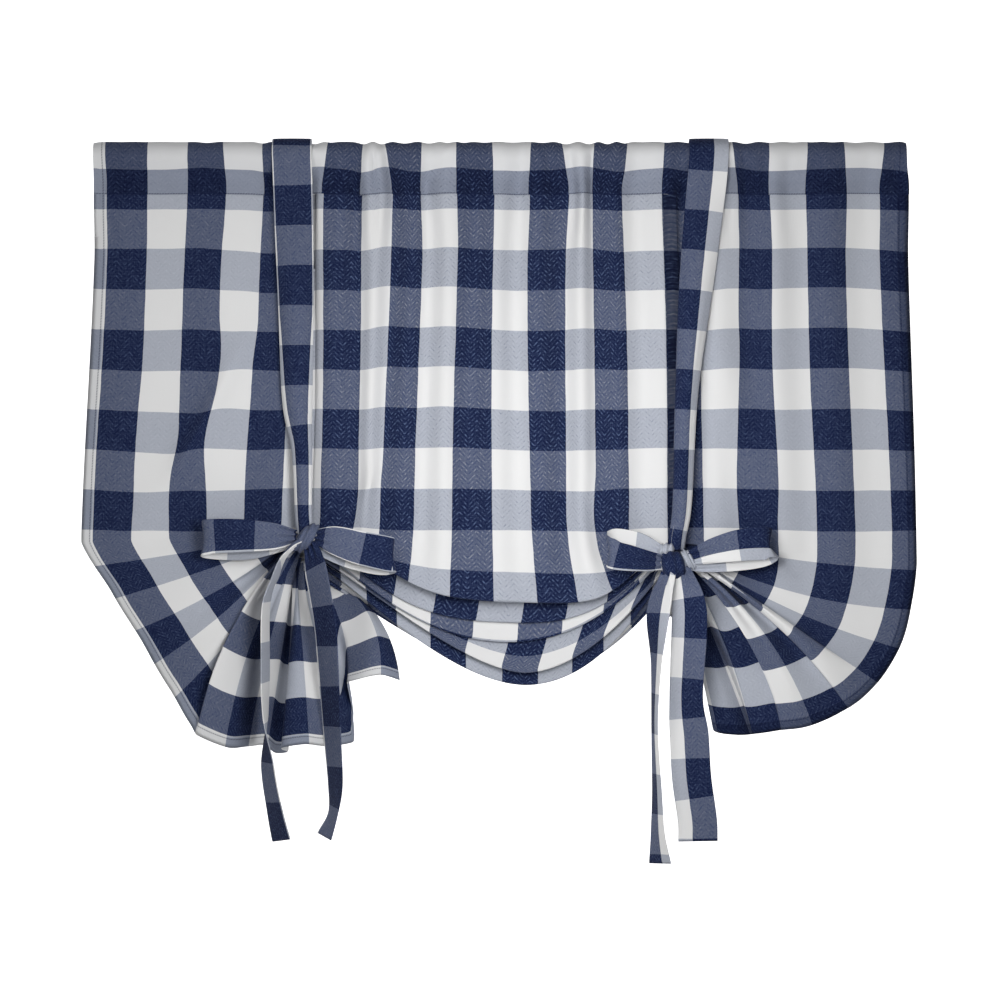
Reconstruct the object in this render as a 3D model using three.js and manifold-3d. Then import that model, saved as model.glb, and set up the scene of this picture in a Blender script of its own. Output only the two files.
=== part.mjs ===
// Tie-up balloon shade in a two-inch check: a heading with a rod pocket, one gathered panel drawn up
// into a middle swag and two side fans, and two straps tied in bows.
// Millimetres, +X right, +Y to the back, +Z up, origin at the middle of the top edge.
import * as THREE from "three";
import { mergeVertices } from "three/addons/utils/BufferGeometryUtils.js";
import Module from "manifold-3d";

// Cloth as cut
const CUT_WIDTH = 1168;
const CUT_LENGTH = 1600;
const CLOTH = 1.2;
const HEM = 13;
const HEM_CLOTH = 2;
const STRAP = 50;
const STRAP_CLOTH = 1.8;

// Heading: a barrel for the rod, then both layers lying together down to the stitch line
const POCKET_DROP = 67;
const BARREL_RADIUS = 16;
const LAYERS_MEET = 52;
const POCKET_SWAY = 0.4;
const GAP = 0.5;

// Gathered bundles inside the bows
const BUNDLE_HEIGHT = 60;
const BUNDLE_DEPTH = 60;
const PINCH_HALF = 8;
const LETS_GO_FROM = 470;
const LETS_GO_TO = 620;
const SIDES_LET_GO_FROM = 250;
const SIDES_LET_GO_TO = 440;
const RIDGE_BIAS = 0.6;
const SWAG_LEAN = 0.2;
const SWAG_CROWD = 0.3;
const SWAG_PINCH = 6;

// How the gathered heading spreads the cut width: place across the cloth, place across the window
const HEADING = [
  { at: 0, x: -517 },
  { at: 218, x: -297 },
  { at: 320, x: -220 },
  { at: 828, x: 208 },
  { at: 930, x: 291 },
  { at: 1168, x: 516 },
];

// Crests of the gathers: place across the cloth and how far each stands out
const GATHERS = [
  { at: -60, out: 2 },
  { at: 48, out: 2 },
  { at: 170, out: 3 },
  { at: 268, out: 4 },
  { at: 335, out: 6 },
  { at: 392, out: 7 },
  { at: 456, out: 6 },
  { at: 512, out: 7.5 },
  { at: 580, out: 6 },
  { at: 637, out: 7 },
  { at: 703, out: 7.5 },
  { at: 764, out: 6 },
  { at: 826, out: 6.5 },
  { at: 898, out: 5 },
  { at: 985, out: 5 },
  { at: 1062, out: 4 },
  { at: 1150, out: 3 },
  { at: 1230, out: 3 },
];

// Share of the gathers left at each place down the cloth
const GATHER_FADE = [
  { at: 0, share: 0.9 },
  { at: 90, share: 1 },
  { at: 300, share: 0.85 },
  { at: 500, share: 0.7 },
  { at: 590, share: 0.35 },
  { at: 660, share: 0 },
];

// Places across the cloth where the straps grip it
const GRIPS = [
  { at: 0, left: 300, right: 838 },
  { at: 500, left: 300, right: 838 },
  { at: 735, left: 288, right: 846 },
  { at: 823, left: 284, right: 881 },
  { at: 873, left: 280, right: 903 },
  { at: 930, left: 276, right: 938 },
  { at: 1600, left: 270, right: 940 },
];

// Swag fold lines down the cloth, at mid span: drop, depth of the layers before and behind the fold, how
// flat each line hangs, and the share of the way to the knots that it spans
const SWAG = [
  { at: 0, drop: 0, front: 0, behind: 0, flat: 6, span: 1 },
  { at: 493, drop: 493, front: 0, behind: 0, flat: 6, span: 1 },
  { at: 546, drop: 548, front: -6, behind: -6, flat: 4.5, span: 0.92 },
  { at: 587, drop: 584, front: -12, behind: 1, flat: 4, span: 0.84 },
  { at: 629, drop: 548, front: 3, behind: 9, flat: 3, span: 0.9 },
  { at: 719, drop: 632, front: 8, behind: 17, flat: 2.1, span: 0.96 },
  { at: 808, drop: 552, front: 18, behind: 23, flat: 1.9, span: 1 },
  { at: 940, drop: 674, front: 24, behind: 32, flat: 1.7, span: 1 },
  { at: 1013, drop: 614, front: 32, behind: 37, flat: 1.9, span: 1 },
  { at: 1095, drop: 690, front: 37, behind: 43, flat: 1.9, span: 1 },
  { at: 1166, drop: 624, front: 43, behind: 48, flat: 1.9, span: 1 },
  { at: 1234, drop: 685, front: 48, behind: 53, flat: 1.9, span: 1 },
  { at: 1303, drop: 622, front: 53, behind: 57, flat: 1.9, span: 1 },
  { at: 1369, drop: 681, front: 57, behind: 62, flat: 1.9, span: 1 },
  { at: 1435, drop: 622, front: 62, behind: 66, flat: 1.9, span: 1 },
  { at: 1499, drop: 676, front: 66, behind: 71, flat: 1.9, span: 1 },
  { at: 1560, drop: 626, front: 71, behind: 75, flat: 1.9, span: 1 },
  { at: 1600, drop: 662, front: 76, behind: 76, flat: 1.9, span: 1 },
];
const FOLD_HALF = 8;
const LAYERS = SWAG.flatMap((row) => [
  { at: row.at - FOLD_HALF, depth: row.front },
  { at: row.at + FOLD_HALF, depth: row.behind },
]);

// Side edge of each fan down the cloth: turn below level, reach from the knot, depth of the edge,
// forward puff of the ray, the ridge or trough that stands in it near the knot, and its sideways bow
const LEFT_FAN = [
  { at: 509, turn: 0, reach: 279, depth: -5 },
  { at: 587, turn: 15, reach: 250, depth: -10, puff: 10, ridge: 2, bow: 3 },
  { at: 660, turn: 31, reach: 239, depth: -18, puff: 24, ridge: -5, bow: 10 },
  { at: 730, turn: 47, reach: 249, depth: -28, puff: 26, ridge: 3, bow: 10 },
  { at: 787, turn: 58.5, reach: 270, depth: -33, puff: 10, ridge: -6, bow: 10 },
  { at: 803, turn: 61.5, reach: 277, depth: -38, puff: 20, ridge: 13, bow: -22 },
  { at: 850, turn: 69.5, reach: 276, depth: -30, puff: 15, ridge: 9, bow: -12 },
  { at: 899, turn: 75, reach: 268, depth: -5, puff: 4, ridge: 3, bow: -5 },
  { at: 940, turn: 79, reach: 263, depth: 18, ridge: -5 },
  { at: 977, turn: 82.5, reach: 271, depth: 28, ridge: -8 },
  { at: 1003, turn: 85.5, reach: 268, depth: 24, ridge: -6 },
  { at: 1050, turn: 84, reach: 262, depth: -20, ridge: 7 },
  { at: 1095, turn: 91, reach: 255, depth: -30, ridge: 8 },
  { at: 1131, turn: 96, reach: 259, depth: -22, ridge: 2 },
  { at: 1153, turn: 100, reach: 261, depth: -8 },
  { at: 1178, turn: 104, reach: 262, depth: 12 },
  { at: 1192, turn: 106, reach: 226, depth: 26, ridge: -8, bow: 10 },
  { at: 1206, turn: 107.5, reach: 186, depth: 4, ridge: -22, bow: 22 },
  { at: 1230, turn: 114, reach: 188, depth: -8, ridge: -32, bow: 30 },
  { at: 1255, turn: 120.5, reach: 195, depth: -8, ridge: -34, bow: 33 },
  { at: 1275, turn: 123.5, reach: 206, depth: 0, ridge: -34, bow: 34 },
  { at: 1292, turn: 125, reach: 214, depth: 10, ridge: -30, bow: 33 },
  { at: 1312, turn: 121, reach: 192, depth: 24, ridge: -20, bow: 20 },
  { at: 1340, turn: 113, reach: 178, depth: 38, ridge: -10, bow: 8 },
  { at: 1369, turn: 104, reach: 182, depth: 48 },
  { at: 1435, turn: 92, reach: 205, depth: 58 },
  { at: 1499, turn: 103, reach: 180, depth: 68 },
  { at: 1560, turn: 109, reach: 176, depth: 78 },
  { at: 1600, turn: 101, reach: 185, depth: 86 },
];
const RIGHT_FAN = [
  { at: 533, turn: 1, reach: 307, depth: -5 },
  { at: 587, turn: 11, reach: 306, depth: -8, puff: 10, bow: 18 },
  { at: 629, turn: 19, reach: 307, depth: -14, puff: 16, ridge: -5, bow: 15 },
  { at: 674, turn: 27.5, reach: 304, depth: -18, puff: 20, ridge: 3, bow: 6 },
  { at: 719, turn: 36, reach: 297, depth: -22, puff: 24, ridge: 10, bow: -8 },
  { at: 763, turn: 44, reach: 285, depth: -26, puff: 24, ridge: -5, bow: -18 },
  { at: 808, turn: 52.5, reach: 270, depth: -28, puff: 20, ridge: 9, bow: -23 },
  { at: 852, turn: 59, reach: 255, depth: -26, puff: 14, ridge: -5, bow: -22 },
  { at: 899, turn: 66.5, reach: 244, depth: -14, puff: 8, ridge: 7, bow: -10 },
  { at: 935, turn: 66, reach: 246, depth: 8, puff: 4, ridge: -4, bow: -4 },
  { at: 977, turn: 71, reach: 238, depth: -8, puff: 2, ridge: 5 },
  { at: 1013, turn: 77.5, reach: 224, depth: -10 },
  { at: 1054, turn: 76, reach: 212, depth: 16 },
  { at: 1095, turn: 64, reach: 220, depth: 28 },
  { at: 1166, turn: 52, reach: 236, depth: 36 },
  { at: 1234, turn: 64, reach: 216, depth: 46 },
  { at: 1303, turn: 75, reach: 202, depth: 54 },
  { at: 1369, turn: 62, reach: 216, depth: 64 },
  { at: 1435, turn: 52, reach: 230, depth: 70 },
  { at: 1499, turn: 64, reach: 210, depth: 80 },
  { at: 1560, turn: 74, reach: 198, depth: 88 },
  { at: 1600, turn: 64, reach: 210, depth: 96 },
];

// The two sides: direction, knot, where the bunching starts, and the edge and grip at top and bottom
const LEFT = {
  way: -1,
  knotX: -251,
  knotZ: -509,
  bunchedFrom: 493,
  edgeX: -517,
  gripX: -235,
  fan: LEFT_FAN,
};
const RIGHT = {
  way: 1,
  knotX: 221,
  knotZ: -528,
  bunchedFrom: 509,
  edgeX: 516,
  gripX: 216,
  fan: RIGHT_FAN,
};

// Over the top of the heading, seen from the right: angle from the back, clear of the barrel
const STRAP_TURNS = [0, 45, 90, 135, 180];
const STRAP_CLEAR = 3.2;

// Each strap's drop behind and in front: place, and how far its edges cup back towards the panel
const TIE_LEFT = {
  topX: -265,
  behind: [
    { x: -252, y: 30, z: -476, cup: 80 },
    { x: -254, y: 22, z: -400, cup: 60 },
    { x: -258, y: 13, z: -200, cup: 20 },
    { x: -263, y: 11, z: -85, cup: 8 },
    { x: -264, y: 15, z: -45, cup: 2 },
  ],
  inFront: [
    { x: -264, y: -16, z: -45, cup: 2 },
    { x: -263, y: -13, z: -85, cup: 15 },
    { x: -260, y: -20, z: -200, cup: 45 },
    { x: -258, y: -24, z: -328, cup: 72 },
    { x: -252, y: -28, z: -391, cup: 115 },
    { x: -250, y: -30, z: -470, cup: 140 },
    { x: -248, y: -24, z: -500, cup: 140 },
  ],
  knot: { out: 5, up: 6, y: -22, wide: 19, deep: 15, high: 17 },
  loops: [
    [
      { out: -7, up: 8, y: -31, width: 16 },
      { out: -36, up: 8, y: -39, width: 34 },
      { out: -80, up: 9, y: -40, width: 42 },
      { out: -116, up: 8, y: -37, width: 44 },
      { out: -124, up: 5, y: -29, width: 46 },
      { out: -112, up: 2, y: -23, width: 46 },
      { out: -74, up: 0, y: -22, width: 44 },
      { out: -30, up: 4, y: -24, width: 32 },
      { out: -7, up: 6, y: -28, width: 16 },
    ],
    [
      { out: 12, up: 8, y: -31, width: 16 },
      { out: 41, up: 3, y: -40, width: 36 },
      { out: 72, up: -6, y: -42, width: 42 },
      { out: 104, up: -13, y: -39, width: 44 },
      { out: 114, up: -16, y: -31, width: 44 },
      { out: 100, up: -19, y: -25, width: 44 },
      { out: 66, up: -13, y: -24, width: 42 },
      { out: 28, up: -3, y: -26, width: 30 },
      { out: 11, up: 5, y: -28, width: 16 },
    ],
  ],
  tails: [
    [
      { out: -4, up: 2, y: -31, width: 18, lie: 60 },
      { out: -20, up: -14, y: -42, width: 30, lie: 80 },
      { out: -33, up: -42, y: -53, width: 42, lie: 96 },
      { out: -45, up: -80, y: -52, width: 48, lie: 100 },
      { out: -46, up: -160, y: -50, width: 50, lie: 100 },
      { out: -46, up: -214, y: -48, width: 50, lie: 96 },
      { out: -43, up: -285, y: -46, width: 50, lie: 68 },
      { out: -34, up: -340, y: -44, width: 50, lie: 64 },
      { out: -26, up: -376, y: -44, width: 50, lie: 60 },
    ],
    [
      { out: 9, up: 0, y: -31, width: 18, lie: 40 },
      { out: 19, up: -43, y: -45, width: 44, lie: 50 },
      { out: 29, up: -103, y: -47, width: 48, lie: 53 },
      { out: 33, up: -154, y: -47, width: 50, lie: 57 },
      { out: 36, up: -203, y: -47, width: 50, lie: 60 },
      { out: 39, up: -254, y: -46, width: 50, lie: 63 },
      { out: 42, up: -305, y: -45, width: 50, lie: 67 },
      { out: 39, up: -342, y: -44, width: 50, lie: 75 },
      { out: 28, up: -371, y: -44, width: 46, lie: 64 },
    ],
  ],
};
const TIE_RIGHT = {
  topX: 264,
  behind: [
    { x: 222, y: 30, z: -492, cup: 80 },
    { x: 230, y: 22, z: -410, cup: 60 },
    { x: 246, y: 13, z: -200, cup: 20 },
    { x: 258, y: 11, z: -85, cup: 8 },
    { x: 262, y: 15, z: -45, cup: 2 },
  ],
  inFront: [
    { x: 262, y: -16, z: -45, cup: 2 },
    { x: 258, y: -14, z: -85, cup: 20 },
    { x: 246, y: -22, z: -200, cup: 60 },
    { x: 235, y: -27, z: -328, cup: 105 },
    { x: 230, y: -29, z: -455, cup: 125 },
    { x: 224, y: -31, z: -500, cup: 140 },
    { x: 222, y: -25, z: -520, cup: 140 },
  ],
  knot: { out: 1, up: -8, y: -23, wide: 22, deep: 16, high: 18 },
  loops: [
    [
      { out: -11, up: -6, y: -32, width: 16 },
      { out: -36, up: -4, y: -39, width: 26 },
      { out: -60, up: 0, y: -42, width: 33 },
      { out: -76, up: 3, y: -42, width: 36 },
      { out: -83, up: 8, y: -35, width: 42 },
      { out: -76, up: 13, y: -27, width: 48 },
      { out: -48, up: 12, y: -25, width: 40 },
      { out: -22, up: 4, y: -27, width: 26 },
      { out: -10, up: -2, y: -29, width: 18 },
    ],
    [
      { out: 15, up: -2, y: -32, width: 18 },
      { out: 48, up: 9, y: -40, width: 32 },
      { out: 82, up: 16, y: -42, width: 40 },
      { out: 110, up: 18, y: -39, width: 42 },
      { out: 118, up: 16, y: -33, width: 42 },
      { out: 108, up: 8, y: -27, width: 40 },
      { out: 74, up: 0, y: -26, width: 34 },
      { out: 32, up: -5, y: -27, width: 26 },
      { out: 13, up: -6, y: -29, width: 16 },
    ],
  ],
  tails: [
    [
      { out: -8, up: -12, y: -32, width: 20, lie: 40 },
      { out: -22, up: -66, y: -45, width: 46, lie: 52 },
      { out: -25, up: -137, y: -45, width: 50, lie: 77 },
      { out: -27, up: -212, y: -44, width: 50, lie: 83 },
      { out: -24, up: -295, y: -43, width: 50, lie: 78 },
      { out: -23, up: -345, y: -43, width: 50, lie: 72 },
      { out: -20, up: -386, y: -43, width: 50, lie: 58 },
    ],
    [
      { out: 8, up: -12, y: -32, width: 20, lie: 20 },
      { out: 17, up: -71, y: -43, width: 46, lie: 15 },
      { out: 13, up: -174, y: -41, width: 48, lie: 30 },
      { out: 17, up: -226, y: -41, width: 50, lie: 12 },
      { out: 20, up: -278, y: -41, width: 50, lie: 8 },
      { out: 27, up: -330, y: -41, width: 50, lie: 8 },
      { out: 28, up: -358, y: -41, width: 50, lie: 8 },
    ],
  ],
};

// Smooth value of one column of a table, with a rounded crest or trough at each turning row; a size that
// a row leaves out is zero
function along(table, column, at) {
  const last = table.length - 1;
  const place = THREE.MathUtils.clamp(at, table[0].at, table[last].at);
  const next = table.findIndex((row) => row.at >= place);
  const i = Math.max(next - 1, 0);
  const value = (k) => table[k][column] ?? 0;
  const slope = (k) => (value(k + 1) - value(k)) / (table[k + 1].at - table[k].at);
  const lean = (k) => {
    if (k === 0) return slope(0);
    if (k === last) return slope(last - 1);
    const before = slope(k - 1);
    const after = slope(k);
    return before * after <= 0 ? 0 : (2 * before * after) / (before + after);
  };
  const span = table[i + 1].at - table[i].at;
  const t = (place - table[i].at) / span;
  const rise = t * t * (3 - 2 * t);
  return (
    value(i) * (1 - rise) +
    value(i + 1) * rise +
    span * t * (1 - t) * (lean(i) * (1 - t) - lean(i + 1) * t)
  );
}

const mix = THREE.MathUtils.lerp;
const ease = THREE.MathUtils.smoothstep;
const headingX = (across) => along(HEADING, "x", across);

// Depth of the gathers at a place across the cloth, before they fade down the drop
function gather(across) {
  const next = GATHERS.findIndex((crest) => crest.at > across);
  const a = GATHERS[next - 1];
  const b = GATHERS[next];
  const t = (across - a.at) / (b.at - a.at);
  return -mix(a.out, b.out, t) * Math.cos(2 * Math.PI * t);
}

// Rail beside the strap that grips the cloth: straight down to the knot, then all bunched inside it
function gripRail(side, down, outward) {
  const hung = Math.min(down / side.bunchedFrom, 1);
  const bunched = Math.max(down - side.bunchedFrom, 0) / (CUT_LENGTH - side.bunchedFrom);
  return new THREE.Vector3(
    mix(side.gripX, side.knotX, hung) + side.way * outward * PINCH_HALF,
    BUNDLE_DEPTH * bunched,
    -side.bunchedFrom * hung - BUNDLE_HEIGHT * bunched,
  );
}

// Rail of the side hem: straight down, then turning round the knot to become the fan's lower edge
function edgeRail(side, down) {
  const first = side.fan[0];
  const turn = THREE.MathUtils.degToRad(along(side.fan, "turn", down));
  const reach = along(side.fan, "reach", down);
  const x = side.knotX + side.way * reach * Math.cos(turn);
  const z = side.knotZ - reach * Math.sin(turn);
  const hung = Math.min(down / first.at, 1);
  return new THREE.Vector3(mix(side.edgeX, x, hung), along(side.fan, "depth", down) * hung, z * hung);
}

// Point of a side part of the panel: straight rays from the grip to the edge, puffed forward
function sidePoint(side, grip, edge, across, down) {
  const even = (across - grip) / (edge - grip);
  const hung = (headingX(across) - headingX(grip)) / (headingX(edge) - headingX(grip));
  const share = mix(hung, even, ease(down, SIDES_LET_GO_FROM, SIDES_LET_GO_TO));
  const point = gripRail(side, down, 1).lerp(edgeRail(side, down), share);
  point.y -= along(side.fan, "puff", down) * 4 * share * (1 - share);
  point.y -= along(side.fan, "ridge", down) * Math.sin(Math.PI * share ** RIDGE_BIAS);
  const turn = THREE.MathUtils.degToRad(along(side.fan, "turn", down));
  const bow = along(side.fan, "bow", down) * 4 * share * (1 - share);
  point.x -= side.way * bow * Math.sin(turn);
  point.z -= bow * Math.cos(turn);
  return point;
}

// Point of the middle part: level rows above, hanging between the two knots below
function swagPoint(gripLeft, gripRight, across, down) {
  const hung = (headingX(across) - headingX(gripLeft)) / (headingX(gripRight) - headingX(gripLeft));
  const t = (2 * (across - gripLeft)) / (gripRight - gripLeft) - 1;
  const crowded = t * (1 + SWAG_CROWD * (1 - t * t));
  const place = mix(2 * hung - 1, crowded, ease(down, LETS_GO_FROM, LETS_GO_TO));
  const left = gripRail(LEFT, down, -1);
  const right = gripRail(RIGHT, down, -1);
  const leant = place - SWAG_LEAN * (1 - place * place);
  const spanned = Math.min(Math.abs(leant) / along(SWAG, "span", down), 1);
  const hang = 1 - spanned ** along(SWAG, "flat", down);
  const sag = along(SWAG, "drop", down) + (left.z + right.z) / 2;
  const point = left.lerp(right, (place + 1) / 2);
  point.y = mix(along(LAYERS, "depth", down), point.y, Math.abs(place) ** SWAG_PINCH);
  point.z -= sag * hang;
  return point;
}

// Where a place on the flat cloth goes when the shade hangs tied up
function panelPoint(across, down) {
  const gripLeft = along(GRIPS, "left", down);
  const gripRight = along(GRIPS, "right", down);
  let point;
  if (across < gripLeft) point = sidePoint(LEFT, gripLeft - PINCH_HALF, 0, across, down);
  else if (across > gripRight) point = sidePoint(RIGHT, gripRight + PINCH_HALF, CUT_WIDTH, across, down);
  else point = swagPoint(gripLeft + PINCH_HALF, gripRight - PINCH_HALF, across, down);
  point.y += gather(across) * along(GATHER_FADE, "share", down);
  return point;
}

// Direction through a point, halfway between the way in and the way out
function wayThrough(before, at, after) {
  const wayIn = at.clone().sub(before).normalize();
  const wayOut = after.clone().sub(at).normalize();
  return wayIn.add(wayOut);
}

// Closed solid from a grid of middle points and a thickness at each
function sheetSolid(grid, thickness) {
  const rows = grid.length;
  const columns = grid[0].length;
  const positions = [];
  const index = [];
  const step = (k, count) => [Math.max(k - 1, 0), Math.min(k + 1, count - 1)];
  for (let j = 0; j < rows; j += 1) {
    for (let i = 0; i < columns; i += 1) {
      const [i0, i1] = step(i, columns);
      const [j0, j1] = step(j, rows);
      const alongRow = wayThrough(grid[j][i0], grid[j][i], grid[j][i1]);
      const downColumn = wayThrough(grid[j0][i], grid[j][i], grid[j1][i]);
      const out = alongRow.cross(downColumn).normalize().multiplyScalar(thickness(j, i) / 2);
      positions.push(...grid[j][i].clone().sub(out), ...grid[j][i].clone().add(out));
    }
  }
  const front = (j, i) => 2 * (j * columns + i);
  const back = (j, i) => front(j, i) + 1;
  const quad = (a, b, c, d) => index.push(a, b, c, a, c, d);
  for (let j = 0; j + 1 < rows; j += 1) {
    for (let i = 0; i + 1 < columns; i += 1) {
      quad(front(j, i), front(j + 1, i), front(j + 1, i + 1), front(j, i + 1));
      quad(back(j, i), back(j, i + 1), back(j + 1, i + 1), back(j + 1, i));
    }
  }
  for (let i = 0; i + 1 < columns; i += 1) {
    quad(front(0, i), front(0, i + 1), back(0, i + 1), back(0, i));
    quad(front(rows - 1, i), back(rows - 1, i), back(rows - 1, i + 1), front(rows - 1, i + 1));
  }
  for (let j = 0; j + 1 < rows; j += 1) {
    quad(front(j, 0), back(j, 0), back(j + 1, 0), front(j + 1, 0));
    quad(front(j, columns - 1), front(j + 1, columns - 1), back(j + 1, columns - 1), back(j, columns - 1));
  }
  const made = new THREE.BufferGeometry();
  made.setAttribute("position", new THREE.Float32BufferAttribute(positions, 3));
  made.setIndex(index);
  return made;
}

// Evenly spaced values from a to b
function spread(a, b, steps) {
  return Array.from({ length: steps + 1 }, (_, k) => mix(a, b, k / steps));
}

// Panel grid: columns follow the grips, rows crowd where the cloth folds
const SIDE_COLUMNS = 8;
const MIDDLE_COLUMNS = 29;
const FOLDS_FROM = 460;
const HUNG_ROWS = 5;
const ROW_STEP = 32;
const POCKET_STATIONS = 38;

function panelColumns(down) {
  const gripLeft = along(GRIPS, "left", down);
  const gripRight = along(GRIPS, "right", down);
  return [
    0,
    ...spread(HEM, gripLeft - PINCH_HALF, SIDE_COLUMNS),
    ...spread(gripLeft + PINCH_HALF, gripRight - PINCH_HALF, MIDDLE_COLUMNS),
    ...spread(gripRight + PINCH_HALF, CUT_WIDTH - HEM, SIDE_COLUMNS),
    CUT_WIDTH,
  ];
}

function panelGeometry() {
  const folds = SWAG.filter((row) => row.at > FOLDS_FROM && row.at < CUT_LENGTH);
  const folded = folds.flatMap((row, k) => {
    const until = k + 1 < folds.length ? folds[k + 1].at - FOLD_HALF : CUT_LENGTH - HEM;
    const from = row.at + FOLD_HALF;
    const steps = Math.max(Math.round((until - from) / ROW_STEP), 1);
    return [row.at - FOLD_HALF, ...spread(from, until, steps).slice(0, -1)];
  });
  const downs = [
    ...spread(POCKET_DROP + GAP, FOLDS_FROM, HUNG_ROWS).slice(0, -1),
    ...folded,
    CUT_LENGTH - HEM,
    CUT_LENGTH,
  ];
  const grid = downs.map((down) => panelColumns(down).map((across) => panelPoint(across, down)));
  const columns = grid[0].length;
  const inHem = (j, i) => i < 2 || i > columns - 3 || j > downs.length - 3;
  return sheetSolid(grid, (j, i) => (inHem(j, i) ? HEM_CLOTH : CLOTH));
}

// Half depth of the heading's section at a drop below its top
function pocketHalf(radius, meetAt, meetHalf, drop) {
  if (drop < BARREL_RADIUS) return Math.sqrt(Math.max(radius ** 2 - (BARREL_RADIUS - drop) ** 2, 0));
  return mix(radius, meetHalf, ease(drop, BARREL_RADIUS, meetAt));
}

// Closed loop of section points, up the front and down the back
function pocketLoop(drops, half) {
  const front = drops.map((drop) => new THREE.Vector2(-half(drop), drop));
  const behind = drops.map((drop) => new THREE.Vector2(half(drop), drop));
  const loop = [...front, ...behind.reverse()];
  return loop.filter((p, k) => k === 0 || p.distanceTo(loop[k - 1]) > CLOTH / 4);
}

// Heading: a tube that sways with the gathers, open at both ends for the rod
function pocketGeometry() {
  const outer = pocketLoop([POCKET_DROP, LAYERS_MEET, 42, 33, 24, BARREL_RADIUS, 8, 3, 0], (drop) =>
    pocketHalf(BARREL_RADIUS, LAYERS_MEET, CLOTH, drop),
  );
  const inner = pocketLoop([LAYERS_MEET - 3, 42, 33, 24, BARREL_RADIUS, 9, 4, CLOTH], (drop) =>
    pocketHalf(BARREL_RADIUS - CLOTH, LAYERS_MEET - 3, 0, drop),
  );
  const ring = [...outer, ...inner];
  const positions = [];
  const index = [];
  const stations = spread(0, CUT_WIDTH, POCKET_STATIONS);
  for (const across of stations) {
    for (const point of ring) {
      const sway = mix(POCKET_SWAY, 1, ease(point.y, BARREL_RADIUS, POCKET_DROP));
      positions.push(headingX(across), point.x + gather(across) * sway, -point.y);
    }
  }
  const wall = (first, count, outward) => {
    for (let s = 0; s < POCKET_STATIONS; s += 1) {
      for (let k = 0; k < count; k += 1) {
        const a = s * ring.length + first + k;
        const b = s * ring.length + first + ((k + 1) % count);
        const quad = [a, b, b + ring.length, a, b + ring.length, a + ring.length];
        index.push(...(outward ? quad.reverse() : quad));
      }
    }
  };
  wall(0, outer.length, true);
  wall(outer.length, inner.length, false);
  const flip = THREE.ShapeUtils.isClockWise(outer);
  for (const [a, b, c] of THREE.ShapeUtils.triangulateShape(outer, [inner])) {
    const end = POCKET_STATIONS * ring.length;
    index.push(...(flip ? [a, c, b] : [a, b, c]));
    index.push(...(flip ? [end + a, end + b, end + c] : [end + a, end + c, end + b]));
  }
  const made = new THREE.BufferGeometry();
  made.setAttribute("position", new THREE.Float32BufferAttribute(positions, 3));
  made.setIndex(index);
  return made;
}

// Strip of doubled cloth along a table of places, its width lying along an axis
function ribbonGeometry(rows, axis, steps, columns) {
  const table = rows.map((row, k) => ({ at: k, width: STRAP, cup: 0, lie: 0, ...row }));
  const path = new THREE.CatmullRomCurve3(table.map((row) => new THREE.Vector3(row.x, row.y, row.z)));
  const last = table.length - 1;
  const grid = spread(0, last, last * steps).map((at) => {
    const centre = path.getPoint(at / last);
    const tangent = path.getTangent(at / last);
    const width = axis.clone().addScaledVector(tangent, -axis.dot(tangent)).normalize();
    width.applyAxisAngle(tangent, THREE.MathUtils.degToRad(along(table, "lie", at)));
    const outward = tangent.clone().cross(width);
    const cup = Math.max(THREE.MathUtils.degToRad(along(table, "cup", at)), 0.01);
    const half = along(table, "width", at) / 2;
    return columns.map((share) =>
      centre
        .clone()
        .addScaledVector(width, (half * Math.sin(share * cup)) / cup)
        .addScaledVector(outward, (half * (Math.cos(share * cup) - 1)) / cup),
    );
  });
  return sheetSolid(grid, () => STRAP_CLOTH);
}

const CUPPED = [-1, -0.5, 0, 0.5, 1];
const FLAT = [-1, 0, 1];
const X_AXIS = new THREE.Vector3(1, 0, 0);
const Z_AXIS = new THREE.Vector3(0, 0, 1);

const wasm = await Module();
wasm.setup();

function toSolid(geometry) {
  const position = new THREE.BufferGeometry();
  position.setAttribute("position", geometry.getAttribute("position"));
  position.setIndex(geometry.getIndex());
  const merged = mergeVertices(position);
  return new wasm.Manifold(
    new wasm.Mesh({
      numProp: 3,
      vertProperties: new Float32Array(merged.getAttribute("position").array),
      triVerts: new Uint32Array(merged.getIndex().array),
    }),
  );
}

function toGeometry(solid) {
  const mesh = solid.getMesh();
  const made = new THREE.BufferGeometry();
  made.setAttribute("position", new THREE.Float32BufferAttribute(mesh.vertProperties, 3));
  made.setIndex(Array.from(mesh.triVerts));
  return made;
}

// One tie: a strap over the heading, its ends tied in a bow with two loops and two free tails
function tieGeometry(tie, side) {
  const arc = STRAP_TURNS.map((turn) => {
    const angle = THREE.MathUtils.degToRad(turn);
    const radius = BARREL_RADIUS + STRAP_CLEAR;
    return { x: tie.topX, y: radius * Math.cos(angle), z: radius * Math.sin(angle) - BARREL_RADIUS };
  });
  const atKnot = (row) => ({ ...row, x: side.knotX + row.out, z: side.knotZ + row.up });
  const knot = new THREE.SphereGeometry(1, 14, 9);
  knot.scale(tie.knot.wide, tie.knot.deep, tie.knot.high);
  knot.translate(side.knotX + tie.knot.out, tie.knot.y, side.knotZ + tie.knot.up);
  const strips = [
    ribbonGeometry([...tie.behind, ...arc, ...tie.inFront], X_AXIS, 2, CUPPED),
    ...tie.loops.map((loop) => ribbonGeometry(loop.map(atKnot), Z_AXIS, 3, FLAT)),
    ...tie.tails.map((tail) => ribbonGeometry(tail.map(atKnot), X_AXIS, 2, FLAT)),
  ];
  return toGeometry(wasm.Manifold.union([knot, ...strips].map(toSolid)));
}

const group = new THREE.Group();

function addPiece(name, geometry, color) {
  const material = new THREE.MeshStandardMaterial({ color, roughness: 0.9, metalness: 0 });
  const mesh = new THREE.Mesh(geometry, material);
  mesh.name = name;
  group.add(mesh);
}

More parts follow.
